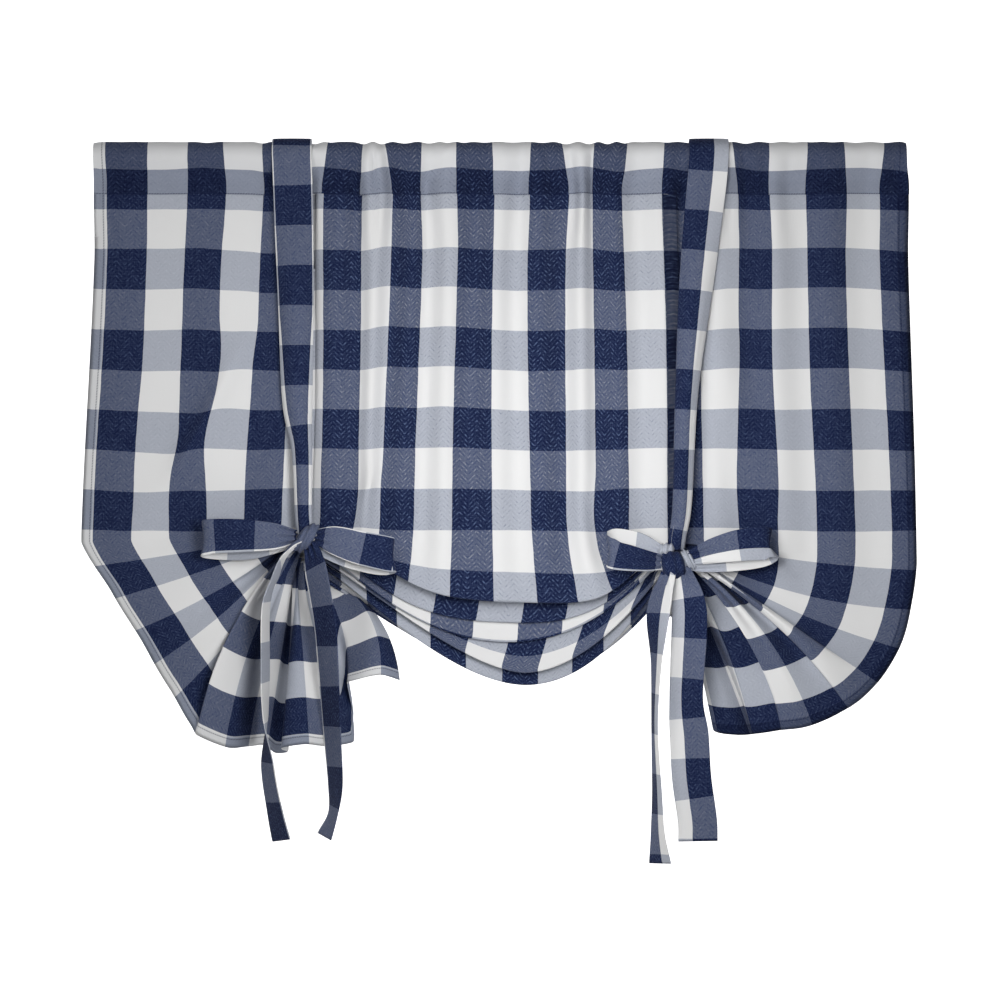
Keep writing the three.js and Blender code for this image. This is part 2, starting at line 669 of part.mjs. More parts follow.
addPiece("rod_pocket", pocketGeometry(), 0xb9bdc8);
addPiece("panel", panelGeometry(), 0xb9bdc8);
addPiece("tie_left", tieGeometry(TIE_LEFT, LEFT), 0x2a3557);
addPiece("tie_right", tieGeometry(TIE_RIGHT, RIGHT), 0x2a3557);

export default group;
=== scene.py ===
# %% [markdown]
# # Tie-up balloon shade
# One length of checked cotton hangs from a rod pocket. Two straps go over the heading and are tied in
# bows, which draw the cloth up into a swag in the middle and a fan at each side. The imported solids give
# the size and the place of every piece, so they are loaded first.

# %% Load the solids
import math

import bmesh
import bpy
import numpy as np
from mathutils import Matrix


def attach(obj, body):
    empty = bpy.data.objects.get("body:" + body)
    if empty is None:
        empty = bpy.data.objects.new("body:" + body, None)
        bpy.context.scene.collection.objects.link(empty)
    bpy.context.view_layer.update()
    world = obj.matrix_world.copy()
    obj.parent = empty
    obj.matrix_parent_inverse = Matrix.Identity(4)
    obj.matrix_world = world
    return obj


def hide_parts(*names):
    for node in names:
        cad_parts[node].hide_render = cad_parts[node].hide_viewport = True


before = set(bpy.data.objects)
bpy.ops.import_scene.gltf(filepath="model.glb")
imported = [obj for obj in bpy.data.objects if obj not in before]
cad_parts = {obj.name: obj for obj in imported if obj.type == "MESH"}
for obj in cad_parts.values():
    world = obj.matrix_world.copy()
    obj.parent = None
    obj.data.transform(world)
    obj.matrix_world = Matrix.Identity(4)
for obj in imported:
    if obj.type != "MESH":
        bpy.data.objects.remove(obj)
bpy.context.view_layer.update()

# %% [markdown]
# ## The view
# The shade was photographed straight on from far away, so nothing in it looks larger than its
# neighbours. A long lens a few metres back gives that flat view. The width of the picture at the cloth
# and the distance fix the focal length.

# %% Camera
PICTURE_WIDTH = 1.27
CAMERA_DISTANCE = 7.0
PICTURE_CENTRE = (-0.001, -0.455)
SENSOR_WIDTH = 36
CLIP_END = 50

camera_data = bpy.data.cameras.new("camera")
camera_data.sensor_width = SENSOR_WIDTH
camera_data.lens = SENSOR_WIDTH * CAMERA_DISTANCE / PICTURE_WIDTH
camera_data.clip_end = CLIP_END
camera = bpy.data.objects.new("camera", camera_data)
camera.location = (PICTURE_CENTRE[0], -CAMERA_DISTANCE, PICTURE_CENTRE[1])
camera.rotation_euler = (math.radians(90), 0, 0)
bpy.context.collection.objects.link(camera)
bpy.context.scene.camera = camera
print("focal length", round(camera_data.lens), "mm")

# %% [markdown]
# ## Tables and smooth curves
# A hanging cloth is easiest to describe by a few rows of measurements: how far down each fold comes, how
# far out each pleat stands. A curve through the rows fills in the rest. It must not overshoot, or a fold
# would bulge past its own crest, so the slope is set to zero wherever the numbers turn round.

# %% Table helpers
MM = 0.001


def table(columns, *rows):
    """Named columns of numbers, one row for each fold or pleat."""
    return dict(zip(columns.split(), np.array(rows, dtype=float).T))


def along(rows, column, at):
    """Smooth value of one column at a place, without overshoot."""
    places = rows["at"]
    values = rows[column]
    slope = np.diff(values) / np.diff(places)
    before = slope[:-1]
    after = slope[1:]
    same_way = before * after > 0
    lean = np.zeros_like(values)
    lean[0] = slope[0]
    lean[-1] = slope[-1]
    lean[1:-1] = np.where(same_way, 2 * before * after / np.where(same_way, before + after, 1), 0)
    at = np.clip(at, places[0], places[-1])
    k = np.clip(np.searchsorted(places, at, side="right") - 1, 0, len(places) - 2)
    span = places[k + 1] - places[k]
    t = (at - places[k]) / span
    rise = t * t * (3 - 2 * t)
    bend = span * t * (1 - t) * (lean[k] * (1 - t) - lean[k + 1] * t)
    return values[k] * (1 - rise) + values[k + 1] * rise + bend


def ease(value, start, end):
    """Rises smoothly from 0 at start to 1 at end."""
    t = np.clip((value - start) / (end - start), 0, 1)
    return t * t * (3 - 2 * t)


def plateau(value, start, full, fade, gone):
    """Rises smoothly to 1, stays there and falls to 0 again."""
    return ease(value, start, full) * (1 - ease(value, fade, gone))


def mix(a, b, share):
    """A share of the way from a to b."""
    return a + (b - a) * share


def uneven_wave(at, length, start, waver, waver_length):
    """A wave whose crests come at uneven distances, as in cloth gathered by hand."""
    return np.sin(at / length + start + waver * np.sin(at / waver_length))


crest = table("at out", (0, 0), (1, 2), (2, 0))
print("a curve through 0, 2 and 0 rises to", along(crest, "out", np.linspace(0, 2, 9)).max())

# %% [markdown]
# ## The cloth as cut
# Every point of the panel keeps two numbers, how far across and how far down it lay on the flat cloth.
# They place the point in space, and they are also its place in the check, so the pattern bends with each
# fold.

# %% Cloth sizes
CUT_WIDTH = 1168
CUT_LENGTH = 1600
SQUARE = 50.8
FIRST_NAVY_ACROSS = 15.2
FIRST_NAVY_DOWN = 35.6
POCKET_DROP = 67
print("squares across", round(CUT_WIDTH / SQUARE, 1), "and down", round(CUT_LENGTH / SQUARE, 1))

# %% [markdown]
# ## Gathers of the heading
# The cloth is wider than the window, so it is pushed together on the rod. The first table says which
# place of the cut ends up where, and the second lists the crests that stand out in between. The crests are
# as uneven as hand-pushed gathers are. The first and the last one lie past the edges of the cloth, so that
# the gathers run out at the sides. Further down the drop they fade.

# %% Heading tables
HEADING = table(
    "at x",
    (0, -517),
    (66, -448),
    (117, -397),
    (168, -350),
    (218, -302),
    (320, -223),
    (371, -176),
    (422, -143),
    (472, -102),
    (523, -57),
    (574, -10),
    (676, 82),
    (726, 117),
    (777, 157),
    (828, 206),
    (930, 297),
    (980, 340),
    (1082, 437),
    (1168, 516),
)
GATHERS = table(
    "at out",
    (-60, 2),
    (48, 2),
    (170, 3),
    (268, 4),
    (335, 6),
    (392, 7),
    (456, 6),
    (512, 7.5),
    (580, 6),
    (637, 7),
    (703, 7.5),
    (764, 6),
    (826, 6.5),
    (898, 5),
    (985, 5),
    (1062, 4),
    (1150, 3),
    (1230, 3),
)
GATHER_FADE = table("at share", (0, 0.9), (90, 1), (300, 0.85), (500, 0.7), (590, 0.35), (660, 0))


def heading_x(across):
    """Place along the rod of a place across the cut."""
    return along(HEADING, "x", across)


def gather(across):
    """Depth of the gathers, before they fade down the drop."""
    crest = GATHERS["at"]
    out = GATHERS["out"]
    k = np.clip(np.searchsorted(crest, across, side="right") - 1, 0, len(crest) - 2)
    t = (across - crest[k]) / (crest[k + 1] - crest[k])
    return -mix(out[k], out[k + 1], t) * np.cos(2 * np.pi * t)


on_cloth = (GATHERS["at"] >= 0) & (GATHERS["at"] <= CUT_WIDTH)
print(np.count_nonzero(on_cloth), "gathers across the heading")

# %% [markdown]
# ## The middle swag
# Below the bows the cloth is folded to and fro in layers that hang between the two knots. Each row of the
# table is one fold line: how far down the flat cloth it is, how low it hangs at mid span, the depth of the
# layers before and behind it, how flat it runs, the share of the way to the knots that it spans, and how far
# its middle is pulled sideways. The front layers were arranged by hand, so they don't hang evenly.

# %% Swag table
SWAG = table(
    "at drop front behind flat span pull",
    (0, 0, 0, 0, 6, 1, 0),
    (493, 493, 0, 0, 6, 1, 0),
    (546, 548, -6, -6, 4.5, 0.92, 0),
    (587, 584, -12, 1, 4, 0.84, 0),
    (629, 548, 5, 11, 3, 0.9, -12),
    (690, 609, 11, 15, 2.8, 0.92, -25),
    (712, 590, 15, 17, 2.5, 0.95, -27),
    (752, 634, 17, 21, 2.1, 0.97, -28),
    (808, 580, 21, 24, 1.9, 1, -18),
    (940, 674, 24, 32, 1.7, 1, 0),
    (1013, 614, 32, 37, 1.9, 1, 0),
    (1095, 690, 37, 43, 1.9, 1, 0),
    (1166, 624, 43, 48, 1.9, 1, 0),
    (1234, 685, 48, 53, 1.9, 1, 0),
    (1303, 622, 53, 57, 1.9, 1, 0),
    (1369, 681, 57, 62, 1.9, 1, 0),
    (1435, 622, 62, 66, 1.9, 1, 0),
    (1499, 676, 66, 71, 1.9, 1, 0),
    (1560, 626, 71, 75, 1.9, 1, 0),
    (1600, 662, 76, 76, 1.9, 1, 0),
)
FOLD_HALF = 8
LAYERS = {
    "at": np.ravel(np.column_stack([SWAG["at"] - FOLD_HALF, SWAG["at"] + FOLD_HALF])),
    "depth": np.ravel(np.column_stack([SWAG["front"], SWAG["behind"]])),
}
print(len(SWAG["at"]) - 2, "fold lines in the swag")

# %% [markdown]
# ## The side fans
# At each side the hem turns round the knot and becomes the lower edge of a fan. A row gives the angle below
# level, the reach from the knot, the depth of the edge, how far the ray puffs forward, the ridge or trough
# that stands in it near the knot, and how far it bows sideways.

# %% Fan tables
LEFT_FAN = table(
    "at turn reach depth puff ridge bow",
    (509, 0, 279, -5, 0, 0, 0),
    (587, 15, 250, -10, 10, 2, 3),
    (660, 31, 239, -18, 24, -5, 10),
    (730, 47, 249, -28, 26, 3, 10),
    (787, 58.5, 270, -33, 10, -6, 10),
    (803, 61.5, 277, -38, 20, 13, -22),
    (850, 69.5, 276, -30, 15, 9, -12),
    (899, 75, 268, -5, 4, 3, -5),
    (940, 79, 263, 18, 0, -5, 0),
    (977, 82.5, 271, 28, 0, -8, 0),
    (1003, 85.5, 268, 24, 0, -6, 0),
    (1050, 84, 262, -20, 0, 7, 0),
    (1095, 91, 255, -30, 0, 8, 0),
    (1131, 96, 259, -22, 0, 2, 0),
    (1153, 100, 261, -8, 0, 0, 0),
    (1178, 104, 262, 12, 0, 0, 0),
    (1192, 106, 226, 26, 0, -8, 10),
    (1206, 107.5, 186, 4, 0, -22, 22),
    (1230, 114, 188, -8, 0, -32, 30),
    (1255, 120.5, 195, -8, 0, -34, 33),
    (1275, 123.5, 206, 0, 0, -34, 34),
    (1292, 125, 214, 10, 0, -30, 33),
    (1312, 121, 192, 24, 0, -20, 20),
    (1340, 113, 178, 38, 0, -10, 8),
    (1369, 104, 182, 48, 0, 0, 0),
    (1435, 92, 205, 58, 0, 0, 0),
    (1499, 103, 180, 68, 0, 0, 0),
    (1560, 109, 176, 78, 0, 0, 0),
    (1600, 101, 185, 86, 0, 0, 0),
)
RIGHT_FAN = table(
    "at turn reach depth puff ridge bow",
    (533, 1, 307, -5, 0, 0, 0),
    (587, 11, 306, -8, 10, 0, 18),
    (629, 19, 307, -14, 16, -5, 15),
    (674, 27.5, 304, -18, 20, 3, 6),
    (719, 36, 297, -22, 24, 10, -8),
    (763, 44, 285, -26, 24, -5, -18),
    (808, 52.5, 270, -28, 20, 9, -23),
    (852, 59, 255, -26, 14, -5, -22),
    (899, 66.5, 244, -14, 8, 7, -10),
    (935, 66, 246, 8, 4, -4, -4),
    (977, 71, 238, -8, 2, 5, 0),
    (1013, 77.5, 224, -10, 0, 0, 0),
    (1054, 76, 212, 16, 0, 0, 0),
    (1095, 64, 220, 28, 0, 0, 0),
    (1166, 52, 236, 36, 0, 0, 0),
    (1234, 64, 216, 46, 0, 0, 0),
    (1303, 75, 202, 54, 0, 0, 0),
    (1369, 62, 216, 64, 0, 0, 0),
    (1435, 52, 230, 70, 0, 0, 0),
    (1499, 64, 210, 80, 0, 0, 0),
    (1560, 74, 198, 88, 0, 0, 0),
    (1600, 64, 210, 96, 0, 0, 0),
)
LEFT = dict(way=-1, knot_x=-251, knot_z=-509, bunched_from=493, edge_x=-517, grip_x=-238.5, fan=LEFT_FAN)
RIGHT = dict(way=1, knot_x=221, knot_z=-528, bunched_from=509, edge_x=516, grip_x=216, fan=RIGHT_FAN)
print(len(LEFT_FAN["at"]), "rows in the left fan,", len(RIGHT_FAN["at"]), "in the right")

# %% [markdown]
# ## Rails that hold the cloth
# Two rails guide each side of the panel: one beside the strap, which bunches all the lower cloth inside the
# bow, and one along the hem. The strap and the sewn hem do the same on the real shade: they keep their line,
# and the cloth between them is free to fold. Both rails start at the seam of the heading. The table says
# where across the flat cloth the straps hold it. This shifts further down, as the bunch was gathered askew.

# %% Rails
GRIPS = table(
    "at left right",
    (0, 300, 838),
    (500, 300, 838),
    (735, 288, 846),
    (823, 284, 881),
    (873, 280, 903),
    (930, 276, 938),
    (1600, 270, 940),
)
BUNDLE_HEIGHT = 60
BUNDLE_DEPTH = 60
PINCH_HALF = 8


def grips(down):
    """Places across the flat cloth where the two straps hold it."""
    return along(GRIPS, "left", down), along(GRIPS, "right", down)


def below_seam(down, end):
    """Share of the way from the seam of the heading down to a place."""
    return np.clip((down - POCKET_DROP) / (end - POCKET_DROP), 0, 1)


def grip_rail(side, down, outward):
    """Straight down beside the strap, then bunched inside the bow."""
    start = side["bunched_from"]
    hung = np.minimum(down / start, 1)
    bunched = np.maximum(down - start, 0) / (CUT_LENGTH - start)
    x = mix(side["grip_x"], side["knot_x"], below_seam(down, start)) + side["way"] * outward * PINCH_HALF
    return np.stack([x, BUNDLE_DEPTH * bunched, -start * hung - BUNDLE_HEIGHT * bunched], axis=-1)


def edge_rail(side, down):
    """Down the side hem, then round the knot along the fan's edge."""
    fan = side["fan"]
    start = fan["at"][0]
    turn = np.radians(along(fan, "turn", down))
    reach = along(fan, "reach", down)
    hung = np.minimum(down / start, 1)
    x = side["knot_x"] + side["way"] * reach * np.cos(turn)
    x = mix(side["edge_x"], x, below_seam(down, start))
    z = (side["knot_z"] - reach * np.sin(turn)) * hung
    return np.stack([x, along(fan, "depth", down) * hung, z], axis=-1)


for rail_side in (LEFT, RIGHT):
    print("the hem of a fan ends at", edge_rail(rail_side, np.array([CUT_LENGTH]))[0].round(), "mm")

# %% [markdown]
# ## Where a place on the flat cloth goes
# Rays join the two rails of each side. They puff forward, stand in ridges and bow sideways as the fan's table
# says. The middle hangs between the two inner rails: level rows above, the layers of the swag below. The
# heading spaces the columns at the top, and further down the cloth lets go of that spacing. The functions
# work on whole grids of points at once.

# %% Points
LETS_GO_FROM = 470
LETS_GO_TO = 620
SIDES_LET_GO_FROM = 250
SIDES_LET_GO_TO = 440
RIDGE_BIAS = 0.6
SWAG_LEAN = 0.2
SWAG_CROWD = 0.3
SWAG_PINCH = 6


def side_points(side, grip, edge, across, down):
    """A side of the panel: rays from the grip to the hem, puffed forward."""
    fan = side["fan"]
    even = (across - grip) / (edge - grip)
    hung = (heading_x(across) - heading_x(grip)) / (heading_x(edge) - heading_x(grip))
    share = np.clip(mix(hung, even, ease(down, SIDES_LET_GO_FROM, SIDES_LET_GO_TO)), 0, 1)
    arch = 4 * share * (1 - share)
    turn = np.radians(along(fan, "turn", down))
    bow = along(fan, "bow", down) * arch
    points = mix(grip_rail(side, down, 1), edge_rail(side, down), share[..., None])
    points[..., 0] -= side["way"] * bow * np.sin(turn)
    points[..., 1] -= along(fan, "puff", down) * arch
    points[..., 1] -= along(fan, "ridge", down) * np.sin(np.pi * share**RIDGE_BIAS)
    points[..., 2] -= bow * np.cos(turn)
    return points


def swag_points(grip_left, grip_right, across, down):
    """The middle: level rows above, hanging between the knots below."""
    hung = (heading_x(across) - heading_x(grip_left)) / (heading_x(grip_right) - heading_x(grip_left))
    t = np.clip(2 * (across - grip_left) / (grip_right - grip_left) - 1, -1, 1)
    crowded = t * (1 + SWAG_CROWD * (1 - t * t))
    place = np.clip(mix(2 * hung - 1, crowded, ease(down, LETS_GO_FROM, LETS_GO_TO)), -1, 1)
    left = grip_rail(LEFT, down, -1)
    right = grip_rail(RIGHT, down, -1)
    leant = place - SWAG_LEAN * (1 - place * place)
    hang = 1 - np.minimum(np.abs(leant) / along(SWAG, "span", down), 1) ** along(SWAG, "flat", down)
    sag = along(SWAG, "drop", down) + (left[..., 2] + right[..., 2]) / 2
    points = mix(left, right, (place[..., None] + 1) / 2)
    points[..., 0] += along(SWAG, "pull", down) * (1 - place * place)
    points[..., 1] = mix(along(LAYERS, "depth", down), points[..., 1], np.abs(place) ** SWAG_PINCH)
    points[..., 2] -= sag * hang
    return points


def hung_points(across, down):
    """Places in space, in millimetres, of places on the flat cloth."""
    grip_left, grip_right = grips(down)
    left = side_points(LEFT, grip_left - PINCH_HALF, 0, across, down)
    right = side_points(RIGHT, grip_right + PINCH_HALF, CUT_WIDTH, across, down)
    middle = swag_points(grip_left + PINCH_HALF, grip_right - PINCH_HALF, across, down)
    points = np.where((across < grip_left)[..., None], left, middle)
    points = np.where((across > grip_right)[..., None], right, points)
    points[..., 1] += gather(across) * along(GATHER_FADE, "share", down)
    return points


lowest = hung_points(np.array([CUT_WIDTH / 2]), np.array([CUT_LENGTH]))
print("the middle of the lower edge is at", lowest[0].round(), "mm")

# %% [markdown]
# ## Pleats round the knots
# The solid carries the main folds only. The finer ones are added from here on, in the same flat places. Cloth
# that is squeezed into a knot runs out from it in pleats, which fade. A pleat leans over as well as standing
# out, because the cloth behind it is pushed under. A row gives the cloth in one pleat, how far it stands out
# and leans, and the way over which it fades. Layers hidden behind the front folds have pleats of another
# size, the last two columns, so that more cloth fits into the same depth.

# %% Pleats
PLEATS = table(
    "wave out lean fade hidden_out hidden_fade",
    (66, 5, 6, 110, 3, 120),
    (25, 3.0, 0, 35, 9, 150),
)
PLEATS_FROM = 500
PLEATS_FULL = 560
PLEAT_FALL = 1.3
PLEAT_DRIFT = ((14, 61, 0), (9, 29, 1.3))
HIDDEN_SIDES = table("at left right", (1030, 0, 0), (1090, 0, 1), (1310, 0, 1), (1370, 1, 1))
HIDDEN_MIDDLE = table(
    "at share",
    (735, 0),
    (770, 1),
    (850, 1),
    (885, 0),
    (955, 0),
    (985, 1),
    (1040, 1),
    (1070, 0),
    (1110, 0),
    (1150, 1),
)


def pleat_swing(down):
    """Place of the pleats down the cloth, made uneven by two soft waves."""
    return down + sum(size * np.sin(down / length + start) for size, length, start in PLEAT_DRIFT)


def pleat_size(across, down, k):
    """How far pleats of one kind stand out: they fade from the knots and change behind the front folds."""
    grip_left, grip_right = grips(down)
    nearest = np.minimum(np.abs(across - grip_left), np.abs(across - grip_right))
    hidden = along(HIDDEN_MIDDLE, "share", down)
    hidden = np.where(across < grip_left, along(HIDDEN_SIDES, "left", down), hidden)
    hidden = np.where(across > grip_right, along(HIDDEN_SIDES, "right", down), hidden)
    size = mix(PLEATS["out"][k], PLEATS["hidden_out"][k], hidden)
    fade = mix(PLEATS["fade"][k], PLEATS["hidden_fade"][k], hidden)
    return size * np.exp(-((nearest / fade) ** PLEAT_FALL)) * ease(down, PLEATS_FROM, PLEATS_FULL)


print(len(PLEATS["wave"]), "kinds of pleats,", PLEATS["wave"], "mm of cloth in each")

# %% [markdown]
# ## Knife pleats of the fans
# A row gives the place of the fold, how far the cloth slides over itself and stands out, which side is on top
# (1 is the lower one), where along the ray the fold ends, and how far the two sides are drawn apart along it.

# %% Knife pleats
OVERLAPS = dict(
    left=table(
        "at over out top end apart",
        (650, 4, 3, -1, 0.6, 0),
        (799, 12, 7, 1, 1.1, 0),
    ),
    right=table(
        "at over out top end apart",
        (655, 5, 4, -1, 0.5, 0),
        (698, 15, 10, 1, 0.95, 3),
        (747, 12, 9, -1, 1.2, 11),
        (848, 16, 12, -1, 1.2, 12),
        (899, 8, 6, 1, 0.6, 0),
    ),
)
OVERLAP_EDGE = 5
OVERLAP_SPREAD = 34
OVERLAP_OPENS = 0.08
OVERLAP_FADES = 0.3
APART_FADES = 0.6
APART_GONE = 0.95


def overlap(across, down):
    """How far the cloth slides down and across at the knife pleats, and how far it stands out."""
    grip_left, grip_right = grips(down)
    shares = dict(left=1 - across / grip_left, right=(across - grip_right) / (CUT_WIDTH - grip_right))
    slide = np.zeros_like(across)
    sidle = np.zeros_like(across)
    stand = np.zeros_like(across)
    for side, rows in OVERLAPS.items():
        share = shares[side]
        apart = 1 - ease(share, APART_FADES, APART_GONE)
        for k, end in enumerate(rows["end"]):
            off = down - rows["at"][k]
            fade = plateau(share, 0, OVERLAP_OPENS, OVERLAP_FADES * end, end)
            step = np.tanh(off / OVERLAP_EDGE) * np.exp(-((off / OVERLAP_SPREAD) ** 2)) * fade
            slide -= rows["over"][k] * step
            sidle -= rows["apart"][k] * step * apart
            stand += rows["out"][k] * rows["top"][k] * step
    return slide, sidle, stand


print({side: len(rows["at"]) for side, rows in OVERLAPS.items()}, "knife pleats")

# %% [markdown]
# ## Puckers and shifts of the gathers
# Sewing through gathered cloth leaves small ripples on both sides of the seam, and they are strongest where
# the cloth is most crowded. Hands that push the gathers along the rod also shift the rows and columns of the
# check. Waves of uneven length give both, because no two gathers on a rod are alike.

# %% Puckers and shifts
CROWD_STEP = 5
PUCKER_OUT = 3.2
PUCKER_RIPPLE = dict(length=33 / (2 * math.pi), start=0, waver=1.5, waver_length=71)
PUCKER_ROUND = 0.02
PUCKER_MEAN = 1.2
PUCKER_SWELL = 0.35
SWELL_LENGTH = 47
SWELL_START = 0.6
PUCKERS_SHOW = (0, 28, 72, 170)
PUCKER_LEAST = 0.25
PUCKER_CROWDED = 4
SHEAR = table(
    "at side drop",
    (0, -0.9, 0.1),
    (34, 0.1, 1),
    (60, 1, 0.3),
    (120, 0.7, 0.6),
    (300, 0.3, 0.4),
    (470, 0, 0),
)
SHEAR_SIDE = 4.5
SHEAR_DROP = 3.6
SIDE_SHIFT = dict(length=27, start=0, waver=1.8, waver_length=88)
DROP_SHIFT = dict(length=21, start=0.5, waver=1.4, waver_length=67)
SHEAR_LEAST = 0.2
SHEAR_CROWDED = 5
ROAM_SIDE = table("size across down start", (2, 71, 113, 0.3), (1.3, 39, -171, 2))
ROAM_DROP = table("size across down start", (1.8, 83, 190, 1), (1.2, 47, -97, 0.4))
ROAMS_BETWEEN = (60, 150, 480, 600)


def crowding(across):
    """Share of the cut width that the heading takes up in gathers."""
    taken = (heading_x(across + CROWD_STEP) - heading_x(across - CROWD_STEP)) / (2 * CROWD_STEP)
    return 1 - np.clip(taken, 0, 1)


def pucker(across, drop):
    """Small ripples where the gathered cloth is sewn below the rod."""
    swell = 1 - PUCKER_SWELL + PUCKER_SWELL * np.sin(across / SWELL_LENGTH + SWELL_START)
    ripple = uneven_wave(across, **PUCKER_RIPPLE)
    ripple = 2 * np.sqrt((1 + PUCKER_ROUND + ripple) / (2 + PUCKER_ROUND)) - PUCKER_MEAN
    crowded = PUCKER_LEAST + PUCKER_CROWDED * crowding(across)
    return PUCKER_OUT * ripple * swell * plateau(drop, *PUCKERS_SHOW) * crowded


def roam(rows, across, down):
    """Long waves that run aslant over the cloth."""
    waves = zip(rows["size"], rows["across"], rows["down"], rows["start"])
    return sum(size * np.sin(across / wide + down / tall + start) for size, wide, tall, start in waves)


def shear(across, down):
    """Sideways and upward shifts of rows and columns, as left by hands that pushed the gathers together."""
    strength = np.clip(SHEAR_LEAST + SHEAR_CROWDED * crowding(across), 0, 1)
    loose = plateau(down, *ROAMS_BETWEEN)
    side = SHEAR_SIDE * uneven_wave(across, **SIDE_SHIFT) * strength * along(SHEAR, "side", down)
    lift = SHEAR_DROP * uneven_wave(across, **DROP_SHIFT) * strength * along(SHEAR, "drop", down)
    return side + roam(ROAM_SIDE, across, down) * loose, lift + roam(ROAM_DROP, across, down) * loose


print("gathers take up at most", round(crowding(np.arange(CUT_WIDTH)).max(), 2), "of the cloth")

# %% [markdown]
# ## Drag lines
# A tied bow pulls on the cloth, and soft ridges run from the pull. A row gives a line on the flat cloth from
# one place to another, how far its ridge stands out, half the width of the ridge and how far it draws the
# cloth in from both sides.

# %% Drag lines
DRAG_LINES = table(
    "across down to_across to_down out half pull",
    (210, 240, 128, 410, 7, 22, 7),
    (180, 330, 60, 500, 4, 24, 3),
    (905, 250, 960, 470, 5, 24, -4),
    (420, 410, 330, 520, 4, 20, 3),
    (720, 420, 800, 530, 4, 20, -3),
)
DRAG_ENDS = 40
DRAWN_FALL = 1.6


def drag(across, down):
    """Forward swell along the drag lines, and how far it draws the cloth in from both sides."""
    swell = np.zeros_like(across)
    side = np.zeros_like(across)
    lift = np.zeros_like(across)
    for k, half in enumerate(DRAG_LINES["half"]):
        start = np.array([DRAG_LINES["across"][k], DRAG_LINES["down"][k]])
        end = np.array([DRAG_LINES["to_across"][k], DRAG_LINES["to_down"][k]])
        length = np.linalg.norm(end - start)
        way = (end - start) / length
        run = (across - start[0]) * way[0] + (down - start[1]) * way[1]
        off = ((across - start[0]) * way[1] - (down - start[1]) * way[0]) / half
        ends = plateau(run, -DRAG_ENDS, DRAG_ENDS, length - DRAG_ENDS, length + DRAG_ENDS)
        drawn = DRAG_LINES["pull"][k] * off * np.exp(-((off / DRAWN_FALL) ** 2)) * ends
        swell += DRAG_LINES["out"][k] * np.exp(-(off**2)) * ends
        side -= drawn * way[1]
        lift -= drawn * way[0]
    return swell, side, lift


print(len(DRAG_LINES["half"]), "drag lines")

# %% [markdown]
# ## From places to a mesh
# A grid made by the bmesh operator already has the faces and a tidy order, so only its points are moved.
# The flat places are kept as a UV map in metres, measured from the corner of the first navy square.

# %% Grid helpers
LEAST_LENGTH = 1e-9


def face_ways(points):
    """Unit normals of a grid of points, pointing to the back of the cloth."""
    across_way = np.gradient(points, axis=1)
    down_way = np.gradient(points, axis=0)
    out = np.cross(across_way, down_way)
    return out / np.maximum(np.linalg.norm(out, axis=-1, keepdims=True), LEAST_LENGTH)


def cloth_grid(target, points, flat):
    """Adds a grid to a bmesh: points in millimetres, flat places in millimetres as its UV map."""
    rows, columns = points.shape[:2]
    made = bmesh.ops.create_grid(target, x_segments=columns - 1, y_segments=rows - 1, size=1)
    uv_map = target.loops.layers.uv.verify()
    place_of = {}
    for vert in made["verts"]:
        column = round((vert.co.x + 1) / 2 * (columns - 1))
        row = round((1 - vert.co.y) / 2 * (rows - 1))
        place_of[vert] = (row, column)
    for vert, (row, column) in place_of.items():
        vert.co = points[row, column] * MM
    faces = {face for vert in made["verts"] for face in vert.link_faces}
    for face in faces:
        face.smooth = True
        for loop in face.loops:
            loop[uv_map].uv = flat[place_of[loop.vert]] * MM
    return made["verts"]


def finish_piece(name, shape):
    """Makes an object at the origin from a bmesh."""
    mesh = bpy.data.meshes.new(name)
    shape.to_mesh(mesh)
    shape.free()
    piece = bpy.data.objects.new(name, mesh)
    bpy.context.collection.objects.link(piece)
    print(name, len(mesh.polygons), "faces")
    return piece


# %% [markdown]
# ## The panel
# Rows and columns crowd where the cloth folds. Past each side and past the lower edge the grid goes on for
# the width of a hem and turns back behind the cloth, so the hems have two real layers. The upper edge is
# tucked between the two layers of the heading, where the real cloth is sewn through.

# %% Panel grid
SIDE_COLUMNS = 48
MIDDLE_COLUMNS = 118
PINCH_COLUMNS = 3
HUNG_ROWS = 62
SHOWN_ROWS = 228
HIDDEN_ROWS = 66
FOLDS_FROM = 460
HIDDEN_FROM = 1310
HEM = 13
HEM_STEPS = np.array([HEM, 8, 3, 1, 0.3])
KNIFE_STEPS = np.arange(-9, 10, 2)
TUCKED = 5


def panel_row(down):
    """Places across one row of the grid: the middle, a pinch, a side and a hem on each hand."""
    left, right = grips(down)
    return np.concatenate(
        [
            -HEM_STEPS,
            np.linspace(0, left - PINCH_HALF, SIDE_COLUMNS),
            np.linspace(left - PINCH_HALF / 2, left + PINCH_HALF / 2, PINCH_COLUMNS),
            np.linspace(left + PINCH_HALF, right - PINCH_HALF, MIDDLE_COLUMNS),
            np.linspace(right - PINCH_HALF / 2, right + PINCH_HALF / 2, PINCH_COLUMNS),
            np.linspace(right + PINCH_HALF, CUT_WIDTH, SIDE_COLUMNS),
            CUT_WIDTH + HEM_STEPS[::-1],
        ]
    )


knife_rows = [at + KNIFE_STEPS for rows in OVERLAPS.values() for at in rows["at"]]
downs = np.concatenate(
    [
        np.linspace(POCKET_DROP - TUCKED, FOLDS_FROM, HUNG_ROWS, endpoint=False),
        np.linspace(FOLDS_FROM, HIDDEN_FROM, SHOWN_ROWS, endpoint=False),
        np.linspace(HIDDEN_FROM, CUT_LENGTH, HIDDEN_ROWS),
        CUT_LENGTH + HEM_STEPS[::-1],
        *knife_rows,
    ]
)
downs = np.unique(downs)
cloth_across = np.array([panel_row(down) for down in downs])
cloth_down = np.repeat(downs[:, None], cloth_across.shape[1], axis=1)
print("panel grid", cloth_across.shape)

